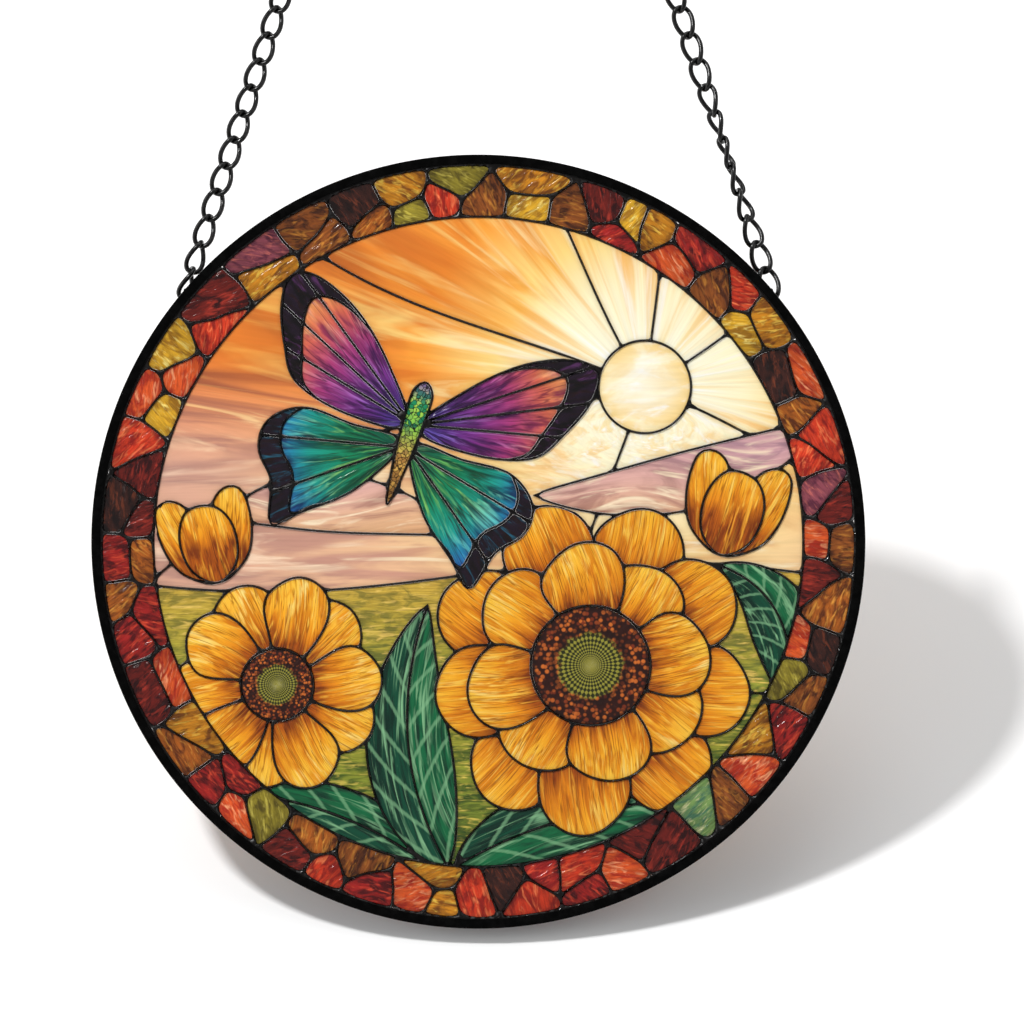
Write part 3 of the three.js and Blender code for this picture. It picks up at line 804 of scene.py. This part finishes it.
def black_metal(name, color, worn, low, high, ripple, shine):
    """Glossy black, with patches that are duller than others and a slightly uneven surface."""
    nodes = Nodes(name)
    nodes.shader.inputs["Base Color"].default_value = linear4(color)
    nodes.shader.inputs["Metallic"].default_value = 0.0
    nodes.shader.inputs["Specular IOR Level"].default_value = shine
    place = nodes.add("TexCoord", "Object")
    patch = nodes.noise(place, 420, 4, 0.6)
    fine = nodes.noise(place, 2400, 3, 0.6)
    tone = nodes.blend(nodes.span(patch, 0.35, 0.7), linear4(color), linear4(worn))
    rough = nodes.span(patch, 0.35, 0.65, low, high)
    normal = nodes.bump(patch, ripple, 0.25)
    normal = nodes.bump(fine, ripple * 0.5, 0.05, normal)
    return nodes.surface(tone, rough, normal)


MATERIALS = {
    "stone": streaky_glass("stone_glass", 1.0, 0.3, ripple=0.8),
    "petal": streaky_glass("petal_glass", 0.8, 0.12, strokes=0.85, ripple=0.35),
    "leaf": streaky_glass("leaf_glass", 1.0, 0.2, veins=0.5, ripple=0.5),
    "meadow": streaky_glass("ground_glass", 1.0, 0.3),
    "sky": streaky_glass("sky_glass", 0.9, 0.08, ripple=0.25),
    "cloud": streaky_glass("cloud_glass", 0.9, 0.08, ripple=0.25),
    "wing": streaky_glass("wing_glass", 0.9, 0.3, strokes=0.7),
    "scales": scaled_glass("scale_glass", 1.0),
    "stamens": seeded_glass("stamen_glass"),
    "lead": black_metal("leading_metal", "030202", "100d0c", 0.1, 0.4, 0.6, 0.22),
    "metal": black_metal("black_metal", "020202", "060606", 0.15, 0.3, 0.15, 0.05),
    "chain": black_metal("chain_metal", "020202", "080808", 0.16, 0.3, 0.2, 0.35),
}


# ---- The colours of each piece ----
def soft_step(low, high, value):
    share = np.clip((value - low) / (high - low), 0, 1)
    return share * share * (3 - 2 * share)


def mixed(a, b, share):
    return a + (b - a) * np.asarray(share)[:, None]


def bands(value, stops):
    """Colours along a scale: stops are (place, colour code) in rising order."""
    places = [place for place, _ in stops]
    colors = np.array([linear(code) for _, code in stops])
    return np.stack([np.interp(value, places, colors[:, k]) for k in range(3)], 1)


def flat(code, points):
    return np.repeat(linear(code)[None], len(points), 0)


def along_across(points, start, through, end):
    """Lengthwise from 0 to 1 and crosswise in mm, beside a bent midrib."""
    shares = np.linspace(0, 1, 41)
    back = 1 - shares
    middle = back**2 * start + 2 * back * shares * through + shares**2 * end
    gap = points[:, None] - middle
    best = abs(gap).argmin(1)
    direction = 2 * (1 - shares[best]) * (through - start) + 2 * shares[best] * (end - through)
    direction /= abs(direction)
    local = gap[np.arange(len(points)), best] * direction.conj()
    return shares[best] + local.real / abs(end - start), local.imag


def grain_of(along, across, seed):
    return np.stack([along, across, np.full(len(along), float(seed))], 1)


STONE_COLORS = [
    # how often, tint, shade, light
    (5, "c9821c", "7a4512", "edc04a"),
    (4, "d8a428", "9a6a18", "f4dc7a"),
    (4, "a85a1c", "5a2a10", "d8923a"),
    (4, "cf3a1e", "8a1c14", "ef7a4a"),
    (4, "de5a26", "a82c18", "f6a070"),
    (5, "6e1c16", "330a0c", "a83426"),
    (4, "8a4a1c", "45210f", "b8762c"),
    (3, "9c1f1c", "4c0c10", "d8482e"),
    (3, "8f8128", "5c5018", "c8b850"),
    (2, "3a1c16", "190c0c", "6e3420"),
    (1, "8a4450", "5a2638", "c86a60"),
    (1, "7ea05a", "4c7a5c", "d8d8a0"),
]


def paint_stone(points, made, draw):
    seed, index = made["local"]
    bag = [row for row in STONE_COLORS for _ in range(row[0])]
    _, tint, shade, light = bag[int(draw() * len(bag))]
    turn = polar(1, draw() * math.pi)
    local = (points - seed) * turn
    tone = 0.85 + 0.3 * draw()
    # Painted shade: each stone is lighter at its middle and darker towards the lead round it, times a random tone of
    # its own.
    spread = abs(points - seed)
    painted_edge_shade_and_tone = (1.08 - 0.28 * soft_step(1.5, 7, spread))[:, None] * tone
    grain = grain_of(local.real * 0.17, local.imag * 0.36, index * 7.3)
    return flat(tint, points) * painted_edge_shade_and_tone, flat(shade, points) * painted_edge_shade_and_tone, flat(light, points) * painted_edge_shade_and_tone, grain


# How far the colours of a petal lie from its root, beside those of the large poppy's inner petals.
PETAL_SHIFTS = {"inner": 0, "outer": -0.14, "poppy": 0.09, "bloom": 0.02}


def paint_petal(points, made, draw):
    along, across = along_across(points, *made["local"])
    hue = draw()
    reach = along + PETAL_SHIFTS[made["name"].split("_")[-3]] + 0.04 * np.sin(across)
    tint = bands(reach, [(0.44, "b45a10"), (0.54, "ea8e16"), (0.7, "fab024"), (0.95, "ffcc44")])
    tint = mixed(tint, tint * np.array([1.0, 0.84, 0.7]), np.full(len(points), 0.45 * hue))
    shade = bands(reach, [(0.44, "7a3208"), (0.6, "d0720e"), (1, "f09c18")])
    light = bands(reach, [(0.44, "e89c2c"), (0.64, "ffcc4c"), (1, "ffe488")])
    edge = soft_step(0.55, 1.0, abs(across) / 12)
    tint = mixed(tint, shade, edge * 0.7)
    return tint, shade, light, grain_of(along * 2.6, across * 0.5, draw() * 50)


def paint_leaf(points, made, draw):
    along, across = along_across(points, *made["local"])
    side = 0.5 + 0.5 * np.sign(across)
    tint = mixed(flat("13693f", points), flat("0b4a34", points), side)
    shade = mixed(flat("083826", points), flat("052b20", points), side)
    light = flat("86bd8c", points)
    made["vein"] = (along * 7.5 - abs(across) * 0.16) + 0.35
    return tint, shade, light, grain_of(along * 3, across * 0.35, draw() * 50)


def paint_ground(points, made, draw):
    x, z = points.real, points.imag
    if made["kind"] == "hills":
        tint = bands(z, [(-40, "8f9838"), (-20, "c0a83c"), (-6, "dcb04a")])
        shade = bands(z, [(-40, "5a7030"), (-6, "9c8434")])
        light = flat("eac562", points)
    else:
        tint = bands(z, [(-84, "4f6b28"), (-60, "8c9432"), (-36, "b5a43a")])
        shade = bands(z, [(-84, "24401c"), (-36, "5a6c26")])
        light = flat("dcc458", points)
    return tint, shade, light, grain_of(x * 0.13, z * 0.42, 4.0)


def paint_sky(points, made, draw):
    gap = points - SUN
    out = abs(gap)
    height = points.imag
    upper = bands(out, [(8, "fffbe6"), (26, "fff6cc"), (40, "ffdb84"), (58, "fba43c"), (88, "f08a30"), (120, "e87e2e")])
    lower = bands(out, [(8, "fffbe6"), (24, "fff4cc"), (44, "fbdc9c"), (80, "f4c498"), (120, "e0ac92")])
    share = soft_step(6, 42, height + 0.12 * points.real)
    tint = mixed(lower, upper, share)
    shade = mixed(
        bands(out, [(10, "fdf0c8"), (40, "ecb870"), (80, "d09a84"), (120, "b88a7c")]),
        bands(out, [(10, "fff0bc"), (38, "f8b24c"), (60, "e07c28"), (110, "a85428")]),
        share,
    )
    light = mixed(
        bands(out, [(10, "ffffff"), (60, "fff0c8"), (120, "f4d0b4")]),
        bands(out, [(10, "ffffff"), (60, "ffe28a"), (110, "f8b850")]),
        share,
    )
    way = gap / np.maximum(out, 1e-6)
    radial = np.stack([way.real * 5.5, way.imag * 5.5, out * 0.012], 1)
    level = np.stack([points.real * 0.022, height * 0.14, np.full(len(points), 2.0)], 1)
    return tint, shade, light, mixed(level, radial, share)


def paint_cloud(points, made, draw):
    height = points.imag + 2 * np.sin(points.real / 9)
    tint = bands(height, [(-4, "d8a06a"), (6, "e8b890"), (14, "e2b0a4"), (24, "d6a4a8")])
    shade = bands(height, [(-4, "b87c50"), (14, "b88a80"), (24, "a8808c")])
    light = flat("fbe6c4", points)
    return tint, shade, light, grain_of(points.real * 0.05, height * 0.22, 8.0)


def paint_sun(points, made, draw):
    out = abs(points - SUN)
    tint = bands(out, [(0, "fffdf4"), (8, "fff6d8"), (12, "ffe9ae")])
    return tint, bands(out, [(0, "fff8e0"), (12, "fbd88a")]), flat("ffffff", points), grain_of(
        points.real * 0.06, points.imag * 0.1, 1.0
    )


def paint_wing(points, made, draw):
    root, turn = made["local"]
    local = (points - root) * np.conj(turn)
    out = abs(local)
    angle = np.degrees(np.arctan2(local.imag, abs(local.real)))
    if made["kind"] == "forewing":
        tint = bands(out, [(6, "4a2a7e"), (16, "7a2f86"), (26, "a83a70"), (34, "dd6a52"), (40, "f09a5a"), (46, "7a2a6a")])
        shade = bands(out, [(6, "1c1440"), (24, "4a1850"), (36, "a03a50"), (46, "3a1440")])
        light = bands(out, [(6, "7a6ad0"), (24, "c060a0"), (36, "f8b078"), (46, "b060a0")])
    else:
        tint = bands(out, [(4, "0c5a44"), (14, "12885a"), (24, "1a9a8a"), (34, "2a62b8"), (42, "4a3a9a")])
        shade = bands(out, [(4, "063024"), (20, "0a5038"), (34, "142c70"), (42, "20184a")])
        light = bands(out, [(4, "58b858"), (18, "8ad070"), (30, "5ac8d0"), (42, "8a8ae8")])
    return tint, shade, light, grain_of(out * 0.07, angle * 0.11, 3.0 if local.real.mean() > 0 else 9.0)


def paint_band(points, made, draw):
    """The dark outer border of a wing."""
    root, turn = made["local"]
    local = (points - root) * np.conj(turn)
    angle = np.degrees(np.arctan2(local.imag, abs(local.real)))
    return (
        flat("1d1020", points),
        flat("0a0609", points),
        flat("5a3060" if made["kind"] == "forewing" else "205a70", points),
        grain_of(abs(local) * 0.12, angle * 0.16, 5.0),
    )


def paint_body(points, made, draw):
    origin, turn = made["local"]
    local = (points - origin) * np.conj(turn)
    tint = bands(local.imag, [(-19, "5a3416"), (-6, "a87838"), (3, "0f6a4a"), (9, "188a58"), (15, "4a2a6e")])
    light = bands(local.imag, [(-19, "9a6a30"), (-6, "d8a850"), (3, "7ac048"), (9, "a8d050"), (15, "8a4aa8")])
    return tint, flat("0e0808", points), light, grain_of(local.real, local.imag, 2.0)


def paint_stamens(points, made, draw):
    centre, heart = made["local"]
    local = (points - centre) / heart
    plain = flat("3a1812", points)
    return plain, plain, plain, grain_of(local.real, local.imag, 0.0)


PAINTERS = {
    "stone": paint_stone, "petal": paint_petal, "leaf": paint_leaf, "meadow": paint_ground,
    "hills": paint_ground, "sky": paint_sky, "cloud": paint_cloud, "sun": paint_sun,
    "forewing": paint_wing, "hindwing": paint_wing, "body": paint_body, "stamens": paint_stamens,
}
LOOKS = {
    "hills": "meadow", "sun": "sky", "forewing": "wing", "hindwing": "wing", "body": "scales",
}

# ---- The panel ----
HALF_LEAD = LEAD / 2
RIM_LINE = 0.35
EMBED = 0.14
GLASS_GAP = 0.03
EDGE_DROP = 0.12
EDGE_ROUND = 0.4
GRID = 2.2
GLASS_ROWS = (0.25, 0.8)
CORNERS = {"stone": 4}


def grid_inside(loops, margin):
    """Points of a slightly shaken grid inside the loops, at least margin from them."""
    everything = np.concatenate(loops)
    low = everything.real.min() + 1j * everything.imag.min()
    high = everything.real.max() + 1j * everything.imag.max()
    across = np.arange(math.floor(low.real / GRID), math.ceil(high.real / GRID) + 1)
    upward = np.arange(math.floor(low.imag / GRID), math.ceil(high.imag / GRID) + 1)
    points = ((across[:, None] + (upward % 2) * 0.5) + 1j * upward).ravel() * GRID
    points = points[inside(loops, points)]
    return points[distance(points, loops) > margin] if len(points) else points


def flat_mesh(loops, free):
    """Triangles between the loops, through the free points as well."""
    points, edges = [], []
    for loop in loops:
        edges += loop_edges(len(points), len(loop))
        points += list(loop)
    made, triangles, from_points, _ = triangulate(points + list(free), edges)
    kept = inside(loops, made[triangles].mean(1))
    return made, triangles[kept], from_points


def used(points, triangles):
    numbers = np.unique(triangles)
    place = np.full(len(points), -1)
    place[numbers] = np.arange(len(numbers))
    return points[numbers], place[triangles], numbers


def panel():
    """The leading as one mesh, and the glass of each group of pieces."""
    verts, cells = network()
    kept = kept_points(verts, cells)
    lead_points, lead_depths, lead_triangles, lead_number = [], [], [], {}
    glass = {}
    draw = random_from(29)
    for made, directed in sorted(cells, key=lambda cell: cell[0]["name"]):
        rings = [[v for v in ring if v in kept] for ring in traced(directed, verts)]
        rings = [ring for ring in rings if len(ring) > 2]
        if not rings:
            continue
        loops = [verts[ring] for ring in rings]
        if sum(map(area, loops)) < 0.02:
            continue
        panes = inset_loops(loops, HALF_LEAD, CORNERS.get(made["kind"], 1))
        rows = [inset(loop, HALF_LEAD * 0.55) for loop in loops]
        rows = np.concatenate(rows)
        rows = rows[distance(rows, loops) > HALF_LEAD * 0.5]
        if panes:
            rows = rows[~inside(panes, rows)]
            rows = rows[distance(rows, panes) > HALF_LEAD * 0.3]
        points, triangles, sources = flat_mesh(loops + panes, rows)
        edge = distance(points, panes) if panes else np.full(len(points), HALF_LEAD)
        share = 1 - np.clip(edge / HALF_LEAD, 0, 1)
        height = np.sqrt(1 - share**2) * (LEAD_PROUD + EMBED) - EMBED
        names = [v for ring in rings for v in ring]
        numbers = []
        for i, source in enumerate(sources):
            shared = [names[s] for s in source if s < len(names)]
            key = shared[0] if shared else (len(lead_points), "own")
            if key not in lead_number:
                lead_number[key] = len(lead_points)
                lead_points.append(points[i])
                lead_depths.append(LEAD_PROUD if shared else height[i])
            numbers.append(lead_number[key])
        lead_triangles += np.array(numbers)[triangles].tolist()
        if panes:
            glass.setdefault(made["group"], []).append((made, panes, draw()))
    return np.array(lead_points), np.array(lead_depths), np.array(lead_triangles), glass


def pane_mesh(made, panes, seed):
    """One piece of glass with rounded edges and a slightly uneven face, and its colours."""
    edges = [inset(loop, GLASS_GAP) for loop in panes]
    free = [grid_inside(edges, GLASS_ROWS[-1] * 1.6)]
    for depth in GLASS_ROWS:
        row = np.concatenate([inset(loop, depth) for loop in edges])
        free.append(row[inside(edges, row) & (distance(row, edges) > 0.9 * depth)])
    points, triangles, _ = flat_mesh(edges, np.concatenate(free))
    points, triangles, _ = used(points, triangles)
    reach = distance(points, edges)
    drop = EDGE_DROP * np.exp(-reach / EDGE_ROUND)
    uneven = np.array([noise.noise(Vector((p.real / 6, p.imag / 6, seed * 90))) for p in points])
    wave = 0.05 * uneven * soft_step(0, 1.5, reach)
    depth = HALF_GLASS - drop - 0.03 + wave
    mesh = closed_body(points, triangles, -depth, depth)
    kind = made["kind"]
    painter = PAINTERS[kind]
    if kind in ("forewing", "hindwing") and is_band(made, points):
        painter = paint_band
    colors = painter(points, made, random_from(int(seed * 1e6)))
    vein = made.pop("vein", np.full(len(points), 0.0))
    return mesh, colors, vein


def is_band(made, points):
    """Whether a cell of a wing lies beyond the line that follows its outer edge."""
    root = made["local"][0]
    band = made["ribs"][-1]
    middle = points.mean()
    direction = (middle - root) / abs(middle - root)
    nearest = min(band, key=lambda p: abs((p - root) / abs(p - root) - direction))
    return abs(middle - root) > abs(nearest - root)


def add_colors(made, name, values, kind="FLOAT_COLOR"):
    attribute = made.data.attributes.new(name, kind, "POINT")
    if kind == "FLOAT_COLOR":
        values = np.concatenate([values, np.ones((len(values), 1))], 1)
    field = {"FLOAT_COLOR": "color", "FLOAT_VECTOR": "vector", "FLOAT": "value"}[kind]
    attribute.data.foreach_set(field, np.asarray(values, np.float32).ravel())


def build_glass(group, members):
    verts, faces, colors, veins = [], [], [[], [], [], []], []
    for made, panes, seed in members:
        (new_verts, new_faces), new_colors, vein = pane_mesh(made, panes, seed)
        faces += [tuple(v + len(verts) for v in face) for face in new_faces]
        verts += new_verts
        for store, values in zip(colors, new_colors):
            store += [values, values]
        veins += [vein, vein]
    kind = members[0][0]["kind"]
    built = shown(f"glass_{group}", verts, faces, MATERIALS[LOOKS.get(kind, kind)])
    for name, values in zip(("tint", "shade", "light"), colors):
        add_colors(built, name, np.clip(np.concatenate(values), 0, 1))
    add_colors(built, "grain", np.concatenate(colors[3]), "FLOAT_VECTOR")
    add_colors(built, "vein", np.concatenate(veins), "FLOAT")
    sharpen(built, 60)
    nodes = [n for n in frame["nodes"] if n == group or n[:-2] == group and n[-2] == "_" and n[-1] in "bcdefgh"]
    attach(built, "root")
    if nodes:
        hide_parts(*nodes)


lead_points, lead_depths, lead_triangles, glass = panel()
front = -HALF_GLASS - lead_depths
leading = shown("leading_lines", *closed_body(lead_points, lead_triangles, front, -front), MATERIALS["lead"])
sharpen(leading, 60)
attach(leading, "root")
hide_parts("leading")
for group in sorted(glass):
    build_glass(group, glass[group])


# ---- Rim, chains, eyes and ring ----
def turned_ring(name, profile, steps, material):
    """A ring round the disc's middle. The profile is a closed list of (radius, y)."""
    verts = [world(polar(r, TAU * i / steps), y) for i in range(steps) for r, y in profile]
    size = len(profile)
    faces = []
    for i in range(steps):
        for k in range(size):
            a, b = i * size + k, i * size + (k + 1) % size
            c, d = (b + size) % len(verts), (a + size) % len(verts)
            faces.append((a, d, c, b))
    return sharpen(shown(name, verts, faces, material), 35)


def softened(profile, radius):
    """The profile with each corner cut into a small round."""
    made = []
    points = [complex(*p) for p in profile]
    for before, p, after in zip(points[-1:] + points, points, points[1:] + points[:1]):
        to_before, to_after = (before - p) / abs(before - p), (after - p) / abs(after - p)
        start, end = p + radius * to_before, p + radius * to_after
        made += [bezier(start, p, end, share) for share in (0, 0.5, 1)]
    return [(p.real, p.imag) for p in made]


half_depth = RIM_DEPTH / 2
rim_profile = [
    (RADIUS - RIM_FACE, -half_depth), (RADIUS, -half_depth), (RADIUS, half_depth),
    (RADIUS - RIM_FACE, half_depth), (RADIUS - RIM_FACE, GROOVE), (RADIUS - RIM_WALL, GROOVE),
    (RADIUS - RIM_WALL, -GROOVE), (RADIUS - RIM_FACE, -GROOVE),
]
rim = turned_ring("metal_rim", softened(rim_profile, 0.22), 360, MATERIALS["metal"])
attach(rim, "root")
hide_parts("rim")

bed = HALF_GLASS - 0.08
bedding_profile = [(BORDER_OUTER - 0.12, -bed), (GLASS_RADIUS, -bed), (GLASS_RADIUS, bed), (BORDER_OUTER - 0.12, bed)]
bedding = turned_ring("groove_lead", bedding_profile, 240, MATERIALS["lead"])
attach(bedding, "root")


def wire(path, diameter, sides, closed=True):
    """Points and faces of a round wire along a path."""
    count = len(path)
    verts, faces = [], []
    for i, p in enumerate(path):
        before = path[(i - 1) % count] if closed or i else p
        after = path[(i + 1) % count] if closed or i < count - 1 else p
        along = (after - before).normalized()
        middle = sum(path, Vector()) / count
        out = (p - middle) - along * (p - middle).dot(along)
        out.normalize()
        across = along.cross(out)
        for k in range(sides):
            angle = TAU * k / sides
            verts.append(p + (out * math.cos(angle) + across * math.sin(angle)) * diameter / 2)
    for i in range(count if closed else count - 1):
        for k in range(sides):
            a, b = i * sides + k, i * sides + (k + 1) % sides
            c, d = ((v + sides) % len(verts) for v in (b, a))
            faces.append((a, b, c, d))
    if not closed:
        faces.append(tuple(reversed(range(sides))))
        faces.append(tuple(range(len(verts) - sides, len(verts))))
    return verts, faces


def wires(name, loops, material, replaced):
    verts, faces = [], []
    for new_verts, new_faces in loops:
        faces += [tuple(v + len(verts) for v in face) for face in new_faces]
        verts += [v * MM for v in new_verts]
    made = shown(name, verts, faces, material)
    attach(made, "root")
    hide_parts(replaced)


def fuller(value, power):
    return math.copysign(abs(value) ** power, value)


def link_path(steps):
    path = []
    for i in range(steps):
        at = TAU * i / steps
        along = LINK_HALF * fuller(math.cos(at), 0.9)
        across = (LINK_WIDTH - WIRE) / 2 * fuller(math.sin(at), 0.72)
        turn = LINK_TWIST * along / LINK_HALF
        path.append(Vector((across * math.cos(turn), across * math.sin(turn), along)))
    return path


def chain(side):
    rolls = RIGHT_ROLLS if side > 0 else LEFT_ROLLS
    slope = Matrix.Rotation(-side * CHAIN_ANGLE, 4, "Y")
    path = link_path(30)
    made = []
    for i in range(LINKS):
        from_rim = LINKS - 1 - i
        share = i / (LINKS - len(rolls))
        roll = rolls[from_rim] if from_rim < len(rolls) else mix(TOP_ROLLS[side], rolls[-1], share)
        place = slope @ Matrix.Translation((0, 0, -FIRST_LINK - i * LINK_PITCH)) @ Matrix.Rotation(math.radians(roll), 4, "Z")
        made.append(wire([place @ p for p in path], LINK_WIRE, 9))
    return made


def eye(side):
    """A half ring of wire standing out of the back of the rim."""
    place = RADIUS - EYE_INSET
    across = CHAIN_LENGTH * math.sin(CHAIN_ANGLE)
    height = math.sqrt(place**2 - across**2)
    origin = Vector((DISC_X + side * across, PANEL_Y + half_depth, DISC_Z + height))
    slope = Matrix.Rotation(-side * CHAIN_ANGLE, 4, "Y")
    steps = 20
    arc = [math.pi * i / steps for i in range(steps + 1)]
    path = [
        origin + slope @ Vector((0, EYE_HEIGHT * math.sin(at), EYE_WIDTH / 2 * math.cos(at)))
        for at in arc
    ]
    return [wire(path, WIRE, 10, closed=False)]


ring_path = [Vector((p.real, 0, p.imag)) for p in circle(RING_RADIUS - 0.12, 0, 72)]
wires("steel_ring", [wire(ring_path, RING_WIRE, 14)], MATERIALS["chain"], "hanging_ring")
for side, word in ((-1, "left"), (1, "right")):
    wires(f"links_{word}", chain(side), MATERIALS["chain"], f"chain_{word}")
    wires(f"loop_{word}", eye(side), MATERIALS["chain"], f"eye_{word}")


# ---- Stage: a white slope that the disc's lower edge nearly touches, and light from the upper left ----
def one_sided(name, color):
    """A plain pale surface that is clear from behind, so that it hides nothing in other views."""
    nodes = Nodes(name)
    nodes.shader.inputs["Base Color"].default_value = (*color, 1)
    nodes.shader.inputs["Roughness"].default_value = 0.9
    nodes.shader.inputs["Specular IOR Level"].default_value = 0.0
    tree = nodes.tree
    output = tree.nodes["Material Output"]
    clear = tree.nodes.new("ShaderNodeBsdfTransparent")
    both = tree.nodes.new("ShaderNodeMixShader")
    facing = tree.nodes.new("ShaderNodeNewGeometry")
    tree.links.new(facing.outputs["Backfacing"], both.inputs[0])
    tree.links.new(nodes.shader.outputs[0], both.inputs[1])
    tree.links.new(clear.outputs[0], both.inputs[2])
    tree.links.new(both.outputs[0], output.inputs["Surface"])
    return nodes.material


STAGE_HALF = 2200
SLOPE_ANGLE = math.radians(45)
SLOPE_DOWN = 2600
SLOPE_UP = 3200
SLOPE_GAP = 3

slope_foot = Vector((0, rim_high.y + SLOPE_GAP, rim_low.z))
slope_way = Vector((0, math.cos(SLOPE_ANGLE), math.sin(SLOPE_ANGLE)))
stage_verts = [
    (slope_foot + Vector((x, 0, 0)) + slope_way * reach) * MM
    for x, reach in (
        (-STAGE_HALF, -SLOPE_DOWN), (STAGE_HALF, -SLOPE_DOWN), (STAGE_HALF, SLOPE_UP), (-STAGE_HALF, SLOPE_UP),
    )
]
stage = shown("floor", stage_verts, [(0, 1, 2, 3)], one_sided("stage_white", (0.9, 0.9, 0.9)), False)


def area_light(name, place, size, power, color=(1, 1, 1)):
    data = bpy.data.lights.new(name, "AREA")
    data.shape = "DISK"
    data.size = size
    data.energy = power
    data.color = color
    made = bpy.data.objects.new(name, data)
    bpy.context.scene.collection.objects.link(made)
    made.location = place
    aim = Vector((0, 0, DISC_Z * MM)) - made.location
    made.rotation_euler = aim.to_track_quat("-Z", "Y").to_euler()
    return made


area_light("key", Vector((-1.02, -1.46, 1.16)), 0.26, 40)
area_light("left", Vector((-1.9, -0.9, -0.1)), 1.1, 10)
area_light("right", Vector((1.7, -1.3, 0.5)), 1.3, 5)
area_light("top", Vector((0.1, -0.7, 2.0)), 1.6, 16)
WORLD_LIGHT = 0.43
world_data = bpy.data.worlds.new("studio")
world_data.use_nodes = True
world_data.node_tree.nodes["Background"].inputs[0].default_value = (1, 1, 1, 1)
world_data.node_tree.nodes["Background"].inputs[1].default_value = WORLD_LIGHT
bpy.context.scene.world = world_data
bpy.context.scene.view_settings.view_transform = "Standard"
